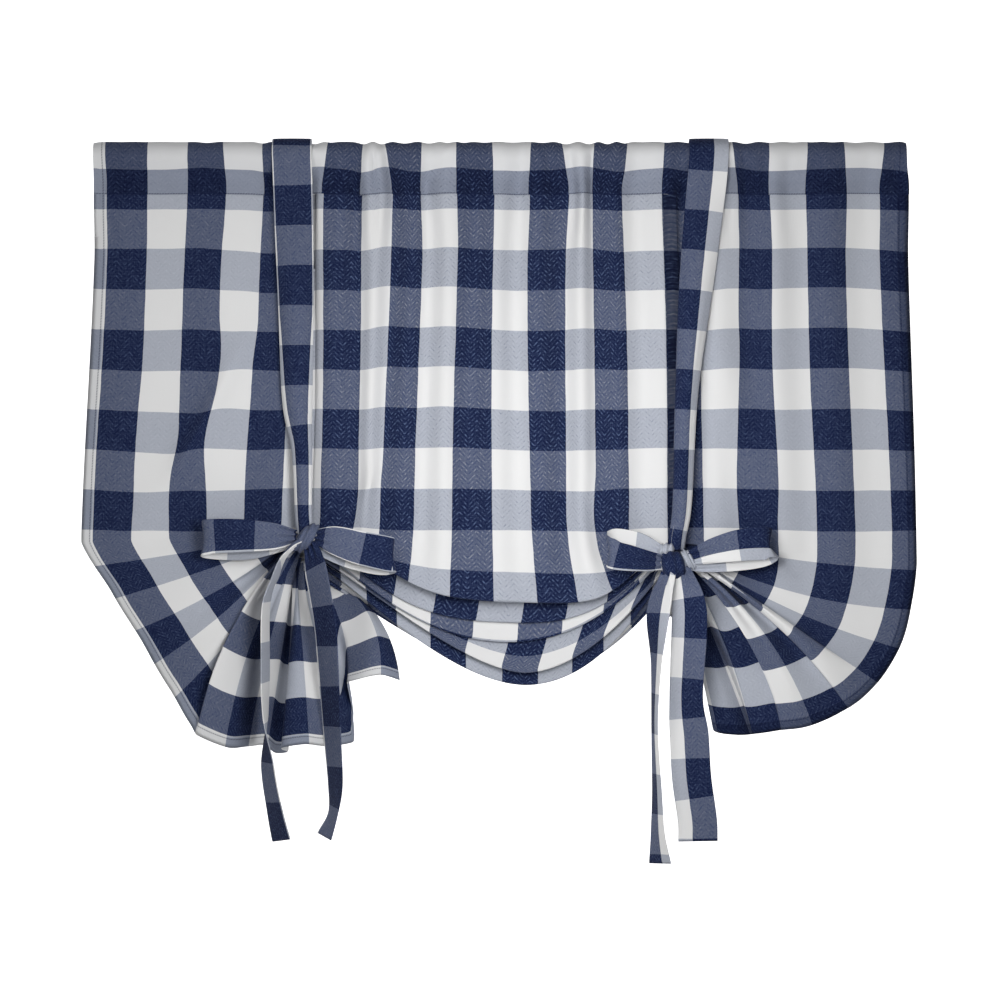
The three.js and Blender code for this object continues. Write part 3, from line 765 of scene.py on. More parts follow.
# %% [markdown]
# ## The panel's points
# A place past a hem is folded back to the place it lies behind. The pleats and knife pleats first move the
# flat places, then the cloth is hung, and then it is pushed out along its own face, drawn in and puckered.
# At last the turned hems are set behind the cloth.

# %% Panel points
PLEAT_LEAN_LAG = 1.2
HEM_LAYER = 1.6
HEM_TURN = 2

across = np.abs(cloth_across)
across = np.where(across > CUT_WIDTH, 2 * CUT_WIDTH - across, across)
down = np.where(cloth_down > CUT_LENGTH, 2 * CUT_LENGTH - cloth_down, cloth_down)
side_turned = np.maximum(-cloth_across, cloth_across - CUT_WIDTH)
end_turned = cloth_down - CUT_LENGTH
turned = np.maximum(side_turned, end_turned)
face_up = np.where(side_turned > 0, -1, 1) * np.where(end_turned > 0, -1, 1)

stand = np.zeros_like(across)
pushed_down = down.copy()
for k, wave in enumerate(PLEATS["wave"]):
    size = pleat_size(across, down, k)
    phase = 2 * np.pi * pleat_swing(down) / wave
    stand += size * np.sin(phase)
    pushed_down += PLEATS["lean"][k] * size / PLEATS["out"][k] * np.sin(phase + PLEAT_LEAN_LAG)
slide, sidle, knife_stand = overlap(across, down)
points = hung_points(across + sidle, np.clip(pushed_down + slide, 0, CUT_LENGTH))
points -= face_ways(points) * (face_up * stand)[..., None]
swell, drag_side, drag_lift = drag(across, down)
shear_side, shear_lift = shear(across, down)
points[..., 0] += drag_side + shear_side
points[..., 1] -= knife_stand + pucker(across, down) + swell
points[..., 2] += drag_lift + shear_lift
points += face_ways(points) * (face_up * HEM_LAYER * ease(turned, 0, HEM_TURN))[..., None]
print("panel from", points.min(axis=(0, 1)).round(), "to", points.max(axis=(0, 1)).round(), "mm")

# %% Panel mesh
flat = np.stack([cloth_across - FIRST_NAVY_ACROSS, cloth_down - FIRST_NAVY_DOWN], axis=-1)
shape = bmesh.new()
cloth_grid(shape, points, flat)
panel = finish_piece("shade_panel", shape)

# %% [markdown]
# ## The heading
# The top of the cloth is folded to the back over the rod and sewn down, which leaves a barrel for the rod.
# One strip goes up the back, over the top and down the front, with the gathers and puckers of the panel. Its
# two layers lie on either side of the panel's upper edge, offset square to the gathers. Under the straps the
# gathers are pressed flat.

# %% Heading section
BARREL_RADIUS = 16
LAYERS_MEET = 52
CLOTH = 1.2
ARC_STEPS = 14
WALL_STEPS = 16


def pocket_section():
    """Depth, drop and facing of the heading from the back stitch line over the top to the front one."""
    drops = np.linspace(POCKET_DROP, BARREL_RADIUS, WALL_STEPS, endpoint=False)
    half = mix(BARREL_RADIUS - CLOTH, 0, ease(drops, BARREL_RADIUS, LAYERS_MEET))
    turn = np.linspace(0, np.pi, ARC_STEPS)
    arc_depth = (BARREL_RADIUS - CLOTH) * np.cos(turn)
    arc_drop = BARREL_RADIUS - BARREL_RADIUS * np.sin(turn)
    depth = np.concatenate([half, arc_depth, -half[::-1]])
    drop = np.concatenate([drops, arc_drop, drops[::-1]])
    facing = np.concatenate([np.ones(WALL_STEPS), np.cos(turn), -np.ones(WALL_STEPS)])
    behind = np.concatenate([np.ones(WALL_STEPS), turn < np.pi / 2, np.zeros(WALL_STEPS)])
    return depth, drop, facing, behind


depth, drop, facing, behind = pocket_section()
print("heading section has", len(drop), "points")

# %% Heading strip
HEADING_COLUMNS = 300
POCKET_SWAY = 0.4
STRAPS_AT = (-265, 264)
PRESSED = 0.85
PRESSED_WITHIN = 26
UNPRESSED_FROM = 46
PRESSED_DOWN_TO = 30
UNPRESSED_BELOW = 52
TOP_DIP = 3
TOP_SCALLOP = dict(length=5.3, start=0, waver=2, waver_length=41)
DIP_LEAST = 0.1
DIP_CROWDED = 5
FRONT_SHIFTS_FROM = 12

across = np.repeat(np.linspace(0, CUT_WIDTH, HEADING_COLUMNS)[None, :], len(drop), axis=0)
drop_grid = np.repeat(drop[:, None], HEADING_COLUMNS, axis=1)
sway = mix(POCKET_SWAY, 1, ease(drop_grid, BARREL_RADIUS, POCKET_DROP))
shear_side, shear_lift = shear(across, drop_grid)
on_front = np.where(behind[:, None] > 0, 0, ease(drop_grid, 0, FRONT_SHIFTS_FROM))
scallop = (1 + uneven_wave(across, **TOP_SCALLOP)) / 2
dip = TOP_DIP * np.clip(DIP_CROWDED * crowding(across), DIP_LEAST, 1) * scallop
top_share = 1 - ease(drop_grid, 0, BARREL_RADIUS)

middle_x = heading_x(across) + shear_side
off_strap = np.min([np.abs(middle_x - at) for at in STRAPS_AT], axis=0)
pressed = PRESSED * (1 - ease(off_strap, PRESSED_WITHIN, UNPRESSED_FROM))
pressed = pressed * (1 - ease(drop_grid, PRESSED_DOWN_TO, UNPRESSED_BELOW))
middle_y = (gather(across) * sway - pucker(across, drop_grid)) * (1 - pressed)
run_x = np.gradient(middle_x, axis=1)
run_y = np.gradient(middle_y, axis=1)
layer = CLOTH * facing[:, None] / np.hypot(run_x, run_y)
points = np.stack(
    [
        middle_x - layer * run_y,
        middle_y + depth[:, None] + layer * run_x,
        -drop_grid + shear_lift * on_front - dip * top_share,
    ],
    axis=-1,
)
signed_drop = np.where(behind[:, None] > 0, -drop_grid, drop_grid)
flat = np.stack([across - FIRST_NAVY_ACROSS, signed_drop - FIRST_NAVY_DOWN], axis=-1)
shape = bmesh.new()
cloth_grid(shape, points, flat)
heading = finish_piece("shade_heading", shape)

# %% [markdown]
# ## Straps, loops and tails
# Each tie is a strap sewn as a flat tube from a strip one repeat of the check wide, so its face and its back
# together show one navy and one white column. It is made as strips that follow short tables of places: over
# the heading, round two loops and down two tails. A strip may cup to hug the cloth, lie turned about its own
# run, and narrow. Where the bow pinches it, the spare width goes into small pleats. The ends close to a seam.

# %% Strip helper
STRAP = 50
STRAP_CLOTH = 2.2
FACE_SHOWN = 54
STRIP_COLUMNS = 24
STRIP_STEP = 3.0
PINCHED_BELOW = 34
PINCH_PLEATS = 1.5
PINCH_DEPTH = 3.0
PINCH_START = 0.7
LEAST_CUP = 0.01
LEAST_STEPS = 3
EDGE_ROUNDING = 0.4
SEWN_WITHIN = 1e-6


def smooth_path(rows, names):
    """Points along a rounded path through table rows, with the table place of each."""
    knots = np.stack([rows[name] for name in names], axis=-1)
    padded = np.vstack([2 * knots[0] - knots[1], knots, 2 * knots[-1] - knots[-2]])
    lengths = np.linalg.norm(np.diff(knots, axis=0), axis=1)
    steps = np.maximum((lengths / STRIP_STEP).astype(int), LEAST_STEPS)
    places = [np.linspace(k, k + 1, count, endpoint=False) for k, count in enumerate(steps)]
    places = np.concatenate(places + [[len(knots) - 1.0]])
    k = np.minimum(places.astype(int), len(knots) - 2)
    t = (places - k)[:, None]
    before, start, end, after = (padded[k + shift] for shift in range(4))
    bend = (2 * before - 5 * start + 4 * end - after) * t**2
    bend = bend + (3 * start - before - 3 * end + after) * t**3
    return start + 0.5 * ((end - before) * t + bend), places


def turned_about(vectors, axes, angles):
    """Vectors turned about unit axes."""
    cos = np.cos(angles)[:, None]
    sin = np.sin(angles)[:, None]
    dot = np.sum(vectors * axes, axis=-1, keepdims=True)
    return vectors * cos + np.cross(axes, vectors) * sin + axes * dot * (1 - cos)


def strap_column(turn):
    """Place in the check round the strap's section: across its face up to 1, then across its back up to 2."""
    back = FACE_SHOWN + (2 * SQUARE - FACE_SHOWN) * (turn - 1)
    return np.where(turn < 1, FACE_SHOWN * turn, back)


def strip(target, rows, width_axis, column, navy_from, mirrored=False, face_out=True):
    """A strip of strap along a table: its check starts at a column and has a navy row from a length."""
    table_rows = dict(rows, at=np.arange(len(rows["x"]), dtype=float))
    path, places = smooth_path(rows, ["x", "y", "z"])
    forward = np.gradient(path, axis=0)
    forward /= np.linalg.norm(forward, axis=1, keepdims=True)
    axis = np.array(width_axis, dtype=float)
    wide = axis - forward * (forward @ axis)[:, None]
    wide /= np.linalg.norm(wide, axis=1, keepdims=True)
    if "lie" in rows:
        wide = turned_about(wide, forward, np.radians(along(table_rows, "lie", places)))
    outward = np.cross(forward, wide)
    width = along(table_rows, "width", places)
    cup = np.radians(along(table_rows, "cup", places)) if "cup" in rows else np.zeros(len(places))
    cup = np.maximum(cup, LEAST_CUP)[:, None]

    ring = np.linspace(0, 2 * np.pi, 2 * STRIP_COLUMNS + 1)
    share = -np.cos(ring)[None, :]
    sewn = np.ones((len(places), 1))
    sewn[[0, -1]] = 0
    rounded = np.sign(np.sin(ring)) * np.abs(np.sin(ring)) ** EDGE_ROUNDING
    layer = STRAP_CLOTH / 2 * sewn * rounded[None, :]
    spare = np.sqrt(np.clip(1 - (width / PINCHED_BELOW) ** 2, 0, 1))[:, None]
    pinch = PINCH_DEPTH * spare * np.cos(2 * np.pi * PINCH_PLEATS * share + PINCH_START)
    half = width[:, None] / 2
    side_move = half * np.sin(share * cup) / cup - layer * np.sin(share * cup)
    out_move = half * (np.cos(share * cup) - 1) / cup + layer * np.cos(share * cup) + pinch
    sideways = wide[:, None, :] * side_move[..., None]
    points = path[:, None, :] + sideways + outward[:, None, :] * out_move[..., None]

    on_face = (ring <= np.pi) == face_out
    turn = np.where(on_face, (share[0] + 1) / 2, 1 + (1 - share[0]) / 2)
    flat_across = column + (-1 if mirrored else 1) * strap_column(turn)
    run = np.concatenate([[0], np.cumsum(np.linalg.norm(np.diff(path, axis=0), axis=1))])
    flat = np.stack(np.broadcast_arrays(flat_across[None, :], (run - navy_from)[:, None]), axis=-1)
    verts = cloth_grid(target, points, flat)
    bmesh.ops.remove_doubles(target, verts=verts, dist=SEWN_WITHIN)
    return run[-1]


print("a strap is", STRAP, "mm wide and shows", FACE_SHOWN, "mm of the check on its face")

# %% [markdown]
# ## The left tie
# Places are in millimetres. Behind, the strap narrows as it passes down the back of the bunch and is tucked
# under it. The loops and tails are measured out and up from the knot, as the photograph shows them: this bow
# has a long loop to the left, one drooping to the right, and two tails.

# %% Left tie tables
LEFT_BEHIND = table(
    "x y z cup width",
    (-274, 56, -587, 60, 24),
    (-272, 73, -584, 60, 26),
    (-268, 88, -573, 65, 28),
    (-262, 93, -555, 70, 32),
    (-257, 85, -537, 75, 40),
    (-254, 65, -517, 80, 48),
    (-252, 45, -498, 80, 50),
    (-252, 30, -476, 80, 50),
    (-254, 22, -400, 60, 50),
    (-258, 13, -200, 20, 50),
    (-263, 11, -85, 8, 50),
    (-264, 15, -45, 2, 50),
)
LEFT_IN_FRONT = table(
    "x y z cup",
    (-264, -16, -45, 2),
    (-263, -13, -85, 15),
    (-260, -20, -200, 45),
    (-258, -24, -328, 72),
    (-252, -28, -391, 115),
    (-250, -30, -470, 140),
    (-248, -24, -500, 140),
)
LEFT_LOOP_LEFT = table(
    "out up y width",
    (-7, 8, -31, 16),
    (-36, 8, -39, 34),
    (-80, 9, -40, 42),
    (-116, 8, -37, 44),
    (-124, 5, -29, 46),
    (-112, 2, -23, 46),
    (-74, 0, -22, 44),
    (-30, 4, -24, 32),
    (-7, 6, -28, 16),
)
LEFT_LOOP_RIGHT = table(
    "out up y width",
    (12, 8, -31, 16),
    (41, 3, -40, 36),
    (72, -6, -42, 42),
    (104, -13, -39, 44),
    (114, -16, -31, 44),
    (100, -19, -25, 44),
    (66, -13, -24, 42),
    (28, -3, -26, 30),
    (11, 5, -28, 16),
)
LEFT_TAIL_LEFT = table(
    "out up y width lie",
    (-4, 2, -31, 18, 60),
    (-20, -14, -42, 30, 80),
    (-33, -42, -53, 42, 96),
    (-45, -80, -52, 48, 100),
    (-46, -160, -50, 50, 100),
    (-46, -214, -48, 50, 96),
    (-43, -285, -46, 50, 68),
    (-34, -340, -44, 50, 64),
    (-26, -376, -44, 50, 60),
)
LEFT_TAIL_RIGHT = table(
    "out up y width lie",
    (9, 0, -31, 18, 40),
    (19, -43, -45, 44, 50),
    (29, -103, -47, 48, 53),
    (33, -154, -47, 50, 57),
    (36, -203, -47, 50, 60),
    (39, -254, -46, 50, 63),
    (42, -305, -45, 50, 67),
    (39, -342, -44, 50, 75),
    (28, -371, -44, 46, 64),
)
LEFT_KNOT = dict(out=5, up=6, y=-25, wide=13, deep=17, high=18, slant=0.55, column=0, shown=55, row=76)
print("the left knot is at", LEFT["knot_x"] + LEFT_KNOT["out"], LEFT["knot_z"] + LEFT_KNOT["up"], "mm")

# %% [markdown]
# ## The right tie
# This bow is looser: both loops stand up a little, one tail hangs edge on and the other shows its face. Two
# more wraps of the strap show beside the knot.

# %% Right tie tables
RIGHT_BEHIND = table(
    "x y z cup width",
    (214, 56, -606, 60, 24),
    (215, 72, -602, 60, 26),
    (217, 85, -590, 70, 30),
    (219, 88, -574, 80, 36),
    (221, 79, -555, 80, 44),
    (222, 59, -535, 80, 50),
    (222, 42, -515, 80, 50),
    (222, 30, -492, 80, 50),
    (230, 22, -410, 60, 50),
    (246, 13, -200, 20, 50),
    (258, 11, -85, 8, 50),
    (262, 15, -45, 2, 50),
)
RIGHT_IN_FRONT = table(
    "x y z cup",
    (262, -16, -45, 2),
    (258, -14, -85, 20),
    (246, -22, -200, 60),
    (235, -27, -328, 105),
    (230, -29, -455, 125),
    (224, -31, -500, 140),
    (222, -25, -520, 140),
)
RIGHT_LOOP_LEFT = table(
    "out up y width",
    (-11, -6, -32, 16),
    (-36, -4, -39, 26),
    (-60, 0, -42, 33),
    (-76, 3, -42, 36),
    (-83, 8, -35, 42),
    (-76, 13, -27, 48),
    (-48, 12, -25, 40),
    (-22, 4, -27, 26),
    (-10, -2, -29, 18),
)
RIGHT_LOOP_RIGHT = table(
    "out up y width",
    (15, -2, -32, 18),
    (48, 9, -40, 32),
    (82, 16, -42, 40),
    (110, 18, -39, 42),
    (118, 16, -33, 42),
    (108, 8, -30, 40),
    (74, 0, -30, 34),
    (32, -5, -30, 26),
    (13, -6, -30, 16),
)
RIGHT_TAIL_LEFT = table(
    "out up y width lie",
    (-8, -12, -32, 20, 40),
    (-22, -66, -45, 46, 52),
    (-25, -137, -45, 50, 77),
    (-27, -212, -44, 50, 83),
    (-24, -295, -43, 50, 78),
    (-23, -345, -43, 50, 72),
    (-20, -386, -43, 50, 58),
)
RIGHT_TAIL_RIGHT = table(
    "out up y width lie",
    (8, -12, -32, 20, 20),
    (17, -71, -43, 46, 15),
    (13, -174, -41, 48, 30),
    (17, -226, -41, 50, 12),
    (20, -278, -41, 50, 8),
    (27, -330, -41, 50, 8),
    (28, -358, -41, 50, 8),
)
RIGHT_KNOT = dict(out=-3, up=-9, y=-28, wide=17, deep=17, high=18, slant=-0.15, column=-4, shown=59, row=25)
RIGHT_WRAPS = (
    dict(out=17, up=-3, y=-25, wide=8, deep=15, high=13, slant=-0.45, column=56, shown=40, row=25),
    dict(out=-12, up=10, y=-25, wide=11, deep=11, high=8, slant=0.2, column=56, shown=40, row=25),
)
print("the right knot is at", RIGHT["knot_x"] + RIGHT_KNOT["out"], RIGHT["knot_z"] + RIGHT_KNOT["up"], "mm")

# %% [markdown]
# ## The knot
# The knot is the strap wrapped round the middle of the bow. A grid is rolled into a short barrel for each
# wrap that shows, slanted, and creased along the wrap, so that it reads as pulled cloth.

# %% Knot helper
KNOT_ROWS = 28
KNOT_COLUMNS = 36
KNOT_FULLNESS = 2.4
KNOT_CREASE = 1.2
KNOT_CREASES = 1.6
CREASE_WAVER = 0.8


def knot(target, side, sizes):
    """A wrap of the strap at the middle of a bow."""
    share = np.linspace(-1, 1, KNOT_ROWS)[:, None]
    angle = np.linspace(0, 2 * np.pi, KNOT_COLUMNS + 1)[None, :]
    radius = np.sqrt(1 - np.abs(share) ** KNOT_FULLNESS)
    crease = np.cos(2 * np.pi * KNOT_CREASES * share + CREASE_WAVER * np.sin(angle))
    crease = KNOT_CREASE * radius * crease
    y = sizes["y"] - (sizes["deep"] * radius + crease) * np.cos(angle)
    z = (sizes["high"] * radius + crease) * np.sin(angle)
    x = sizes["wide"] * share + sizes["slant"] * z
    middle = np.array([side["knot_x"] + sizes["out"], 0, side["knot_z"] + sizes["up"]])
    points = np.stack([x, y, z], axis=-1) + middle
    flat_across = sizes["column"] + sizes["shown"] * (share + 1) / 2
    flat_down = sizes["row"] + sizes["high"] * np.where(angle > np.pi, angle - 2 * np.pi, angle)
    flat = np.stack(np.broadcast_arrays(flat_across, flat_down), axis=-1)
    verts = cloth_grid(target, points, flat)
    bmesh.ops.remove_doubles(target, verts=verts, dist=SEWN_WITHIN)


print("a wrap is", KNOT_ROWS - 1, "by", KNOT_COLUMNS, "faces")

# %% [markdown]
# ## Tying it together
# A tie is one mesh: the strap over the heading, the strips of the bow and the knot. Each strip says which
# column of the check it starts at and where along it the first navy row begins, as the photograph shows. On
# a mirrored strip the columns run the other way, and a loop that shows its back has its face turned in.

# %% Tie helpers
STRAP_CLEAR = 3.2
STRAP_TURNS = np.radians([0, 45, 90, 135, 180])


def from_knot(side, rows):
    """Places measured out and up from the knot, as places in the frame."""
    return dict(rows, x=side["knot_x"] + rows["out"], z=side["knot_z"] + rows["up"])


def over_heading(top_x, behind, in_front):
    """The strap's whole run: up from behind the bunch, over the barrel and down in front."""
    radius = BARREL_RADIUS + STRAP_CLEAR
    arc = dict(
        x=np.full(len(STRAP_TURNS), float(top_x)),
        y=radius * np.cos(STRAP_TURNS),
        z=radius * np.sin(STRAP_TURNS) - BARREL_RADIUS,
        cup=np.zeros(len(STRAP_TURNS)),
    )
    whole = {name: np.concatenate([behind[name], arc[name], in_front[name]]) for name in arc}
    unpinched = np.full(len(whole["x"]) - len(behind["width"]), float(STRAP))
    return dict(whole, width=np.concatenate([behind["width"], unpinched]))


def tie(name, side, strap, strips, knots):
    """A whole tie as one piece, with the length of strap that went into it."""
    shape = bmesh.new()
    length = strip(shape, **strap)
    for settings in strips:
        placed = from_knot(side, settings["rows"])
        length += strip(shape, **dict(settings, rows=placed))
    for sizes in knots:
        knot(shape, side, sizes)
    return finish_piece(name, shape), length


# %% Tie pieces
X_WAY = (1, 0, 0)
Z_WAY = (0, 0, 1)
NAVY_FACE = -1.6
NAVY_TO_EDGE = -3.6
BOTH_FACES = 16.8
BOTH_FACES_END = BOTH_FACES + FACE_SHOWN
LEFT_STRAP = dict(
    rows=over_heading(STRAPS_AT[0], LEFT_BEHIND, LEFT_IN_FRONT),
    width_axis=X_WAY,
    column=NAVY_FACE,
    navy_from=621,
)
LEFT_STRIPS = (
    dict(rows=LEFT_LOOP_LEFT, width_axis=Z_WAY, column=NAVY_TO_EDGE, navy_from=54, face_out=False),
    dict(rows=LEFT_LOOP_RIGHT, width_axis=Z_WAY, column=NAVY_FACE, navy_from=68),
    dict(rows=LEFT_TAIL_LEFT, width_axis=X_WAY, column=NAVY_FACE, navy_from=245),
    dict(rows=LEFT_TAIL_RIGHT, width_axis=X_WAY, column=NAVY_TO_EDGE, navy_from=84),
)
RIGHT_STRAP = dict(
    rows=over_heading(STRAPS_AT[1], RIGHT_BEHIND, RIGHT_IN_FRONT),
    width_axis=X_WAY,
    column=BOTH_FACES,
    navy_from=664,
)
RIGHT_STRIPS = (
    dict(rows=RIGHT_LOOP_LEFT, width_axis=Z_WAY, column=NAVY_TO_EDGE, navy_from=15, face_out=False),
    dict(rows=RIGHT_LOOP_RIGHT, width_axis=Z_WAY, column=BOTH_FACES_END, navy_from=68, mirrored=True),
    dict(rows=RIGHT_TAIL_LEFT, width_axis=X_WAY, column=BOTH_FACES, navy_from=366),
    dict(rows=RIGHT_TAIL_RIGHT, width_axis=X_WAY, column=BOTH_FACES_END, navy_from=142, mirrored=True),
)

tie_left, left_length = tie("strap_left", LEFT, LEFT_STRAP, LEFT_STRIPS, [LEFT_KNOT])
tie_right, right_length = tie("strap_right", RIGHT, RIGHT_STRAP, RIGHT_STRIPS, [RIGHT_KNOT, *RIGHT_WRAPS])
print("strap lengths", round(left_length), round(right_length), "mm")

# %% [markdown]
# ## The check
# The cloth is woven from navy and white yarn in both directions. Where navy crosses navy the square is
# dark, white on white is pale, and the two mixed squares differ: the yarn that runs down shows more on the
# face, the yarn that runs across shows more on the back. One node group holds the check and the fine weave,
# and puts out the colour of the face, the colour of the back and the height of the yarn. The edges of the
# squares wander a little, because the yarn does.

# %% Node helpers
def add_node(tree, kind, **settings):
    """A new node with some of its settings."""
    node = tree.nodes.new(kind)
    for name, value in settings.items():
        setattr(node, name, value)
    return node


def join(tree, start, end):
    """Links an output to an input."""
    tree.links.new(start, end)


def feed(tree, socket, value):
    """Sets a plain value on an input, or links an output to it."""
    if isinstance(value, (int, float, tuple)):
        socket.default_value = value
    else:
        join(tree, value, socket)


def math_node(tree, operation, *values):
    """A math node on sockets and plain numbers."""
    node = add_node(tree, "ShaderNodeMath", operation=operation)
    for socket, value in zip(node.inputs, values):
        feed(tree, socket, value)
    return node.outputs[0]


def mix_colours(tree, share, first, second, blend="MIX"):
    """A colour mix on sockets and plain colours. The node's inputs 6 and 7 are its two colours."""
    node = add_node(tree, "ShaderNodeMix", data_type="RGBA", blend_type=blend)
    for k, value in ((0, share), (6, first), (7, second)):
        feed(tree, node.inputs[k], value)
    return node.outputs[2]


def stretched_noise(tree, place, across_scale, down_scale, detail=2.0):
    """Noise drawn out along the yarn."""
    mapping = add_node(tree, "ShaderNodeMapping")
    mapping.inputs["Scale"].default_value = (across_scale, down_scale, 1)
    join(tree, place, mapping.inputs["Vector"])
    noise = add_node(tree, "ShaderNodeTexNoise")
    noise.inputs["Scale"].default_value = 1
    noise.inputs["Detail"].default_value = detail
    join(tree, mapping.outputs[0], noise.inputs["Vector"])
    return noise.outputs[0]


def any_of(tree, masks):
    """1 where any of the masks is 1."""
    total = masks[0]
    for mask in masks[1:]:
        total = math_node(tree, "MAXIMUM", total, mask)
    return total


def flat_axes(tree, place):
    """The first two parts of a place: across and down on the cloth."""
    split = add_node(tree, "ShaderNodeSeparateXYZ")
    join(tree, place, split.inputs[0])
    return split.outputs[0], split.outputs[1]


# %% Check group
NOISE_MIDDLE = 0.5
WANDER_SCALE = 30
WANDER = 0.0015

check = bpy.data.node_groups.new("woven check", "ShaderNodeTree")
check.interface.new_socket("Flat place", in_out="INPUT", socket_type="NodeSocketVector")
check.interface.new_socket("Face", in_out="OUTPUT", socket_type="NodeSocketColor")
check.interface.new_socket("Back", in_out="OUTPUT", socket_type="NodeSocketColor")
check.interface.new_socket("Yarn height", in_out="OUTPUT", socket_type="NodeSocketFloat")
group_in = add_node(check, "NodeGroupInput")
group_out = add_node(check, "NodeGroupOutput")
place = group_in.outputs["Flat place"]
across_place, down_place = flat_axes(check, place)

wander = stretched_noise(check, place, WANDER_SCALE, WANDER_SCALE)
wander = math_node(check, "MULTIPLY", math_node(check, "SUBTRACT", wander, NOISE_MIDDLE), WANDER)


def navy_stripe(flat_part):
    """1 on the navy half of each repeat of the check."""
    repeats = math_node(check, "DIVIDE", math_node(check, "ADD", flat_part, wander), 2 * SQUARE * MM)
    return math_node(check, "LESS_THAN", math_node(check, "FRACT", repeats), 0.5)


navy_column = navy_stripe(across_place)
navy_row = navy_stripe(down_place)
print("the check repeats every", 2 * SQUARE, "mm")

# %% [markdown]
# ## Yarn and weave
# Seen close, the cloth has a zigzag twill that comes and goes in patches, and slubs where the yarn is
# thicker. Both give the height of the yarn, and they let specks of pale yarn show on the dark squares. In the
# middle of the shade, where most light comes through the cloth, that light is painted in: the pale specks of
# the weave are made stronger there.

# %% Yarn height
SLUB_ALONG = 60
SLUB_ACROSS = 900
TWILL_PITCH = 0.0060
ZIGZAG = 0.011
PATCH_SCALE = 260
PATCH_DETAIL = 3.0
PATCH_LEVEL = 0.47
TWILL_HEIGHT = 0.5

slub_across = stretched_noise(check, place, SLUB_ALONG, SLUB_ACROSS)
slub_down = stretched_noise(check, place, SLUB_ACROSS, SLUB_ALONG)
slub = math_node(check, "MULTIPLY", math_node(check, "ADD", slub_across, slub_down), 0.5)
zigzag = math_node(check, "PINGPONG", across_place, ZIGZAG)
twill = math_node(check, "ADD", down_place, zigzag)
twill = math_node(check, "SINE", math_node(check, "MULTIPLY", twill, 2 * math.pi / TWILL_PITCH))
patches = stretched_noise(check, place, PATCH_SCALE, PATCH_SCALE, PATCH_DETAIL)
patches = math_node(check, "MAXIMUM", math_node(check, "SUBTRACT", patches, PATCH_LEVEL), 0)
twill = math_node(check, "MULTIPLY", twill, patches)
height = math_node(check, "ADD", math_node(check, "MULTIPLY", twill, TWILL_HEIGHT), slub)
join(check, height, group_out.inputs["Yarn height"])
print("twill lines are", round(TWILL_PITCH / MM, 1), "mm apart")

# %% Yarn colours
YARN_WHITE = (0.745, 0.745, 0.745, 1)
YARN_NAVY = (0.0066, 0.0120, 0.0470, 1)
NAVY_SPECK = (0.080, 0.115, 0.220, 1)
MIXED_DARK = (0.0625, 0.0820, 0.153, 1)
MIXED_LIGHT = (0.435, 0.46, 0.52, 1)
# painted light: near the middle, light coming through the cloth is painted as stronger pale specks of the
# weave
LIT_THROUGH_WITHIN = 0.18
LIT_THROUGH_GONE_FROM = 0.34
LIT_THROUGH_TWILL = 5.5
UNLIT_TWILL = 2.0
SPECKS = dict(navy=(1.1, 0.12), mixed_dark=(0.22, 0.05), mixed_light=(-0.3, 0.10))

middle = (CUT_WIDTH / 2 - FIRST_NAVY_ACROSS) * MM
off_middle = math_node(check, "ABSOLUTE", math_node(check, "SUBTRACT", across_place, middle))
lit_through = add_node(check, "ShaderNodeMapRange", interpolation_type="SMOOTHSTEP")
lit_through.inputs["From Min"].default_value = LIT_THROUGH_WITHIN
lit_through.inputs["From Max"].default_value = LIT_THROUGH_GONE_FROM
lit_through.inputs["To Min"].default_value = LIT_THROUGH_TWILL
lit_through.inputs["To Max"].default_value = UNLIT_TWILL
join(check, off_middle, lit_through.inputs["Value"])
# real twill specks, made stronger near the middle by painted light
speck = math_node(check, "MULTIPLY", twill, lit_through.outputs[0])
speck = math_node(check, "ADD", speck, math_node(check, "SUBTRACT", slub, NOISE_MIDDLE))
speck_share = {
    square: math_node(check, "ADD", math_node(check, "MULTIPLY", speck, strength), least)
    for square, (strength, least) in SPECKS.items()
}
navy = mix_colours(check, speck_share["navy"], YARN_NAVY, NAVY_SPECK)
mixed_dark = mix_colours(check, speck_share["mixed_dark"], MIXED_DARK, YARN_WHITE)
mixed_light = mix_colours(check, speck_share["mixed_light"], MIXED_LIGHT, MIXED_DARK)

for face, in_white, in_navy in (("Face", mixed_light, mixed_dark), ("Back", mixed_dark, mixed_light)):
    white_column = mix_colours(check, navy_row, YARN_WHITE, in_white)
    dark_column = mix_colours(check, navy_row, in_navy, navy)
    join(check, mix_colours(check, navy_column, white_column, dark_column), group_out.inputs[face])
print("check group has", len(check.nodes), "nodes")

# %% [markdown]
# ## Seams and hems
# The heading and the hems are two layers thick, so less light comes through them, and painted shade makes
# them darker. A row of navy stitches holds each of them down. Both are masks on the flat cloth, because they
# follow it through every fold.

# %% Seam masks
STITCH_IN = 11
STITCH_UP = 1
STITCH_HALF = 0.0007
STITCH_LENGTH = 0.0034
STITCH_GAP = 0.2


def stitch_mask(tree, flat_place):
    """Where the seams of the heading and the hems are, as dashes on the flat cloth."""
    across, down = flat_axes(tree, flat_place)
    seams = (
        (down, POCKET_DROP - STITCH_UP - FIRST_NAVY_DOWN),
        (down, CUT_LENGTH - STITCH_IN - FIRST_NAVY_DOWN),
        (across, STITCH_IN - FIRST_NAVY_ACROSS),
        (across, CUT_WIDTH - STITCH_IN - FIRST_NAVY_ACROSS),
    )
    on_seam = any_of(tree, [math_node(tree, "COMPARE", line, at * MM, STITCH_HALF) for line, at in seams])
    stitches = math_node(tree, "DIVIDE", math_node(tree, "ADD", across, down), STITCH_LENGTH)
    dashes = math_node(tree, "GREATER_THAN", math_node(tree, "FRACT", stitches), STITCH_GAP)
    return math_node(tree, "MULTIPLY", on_seam, dashes)


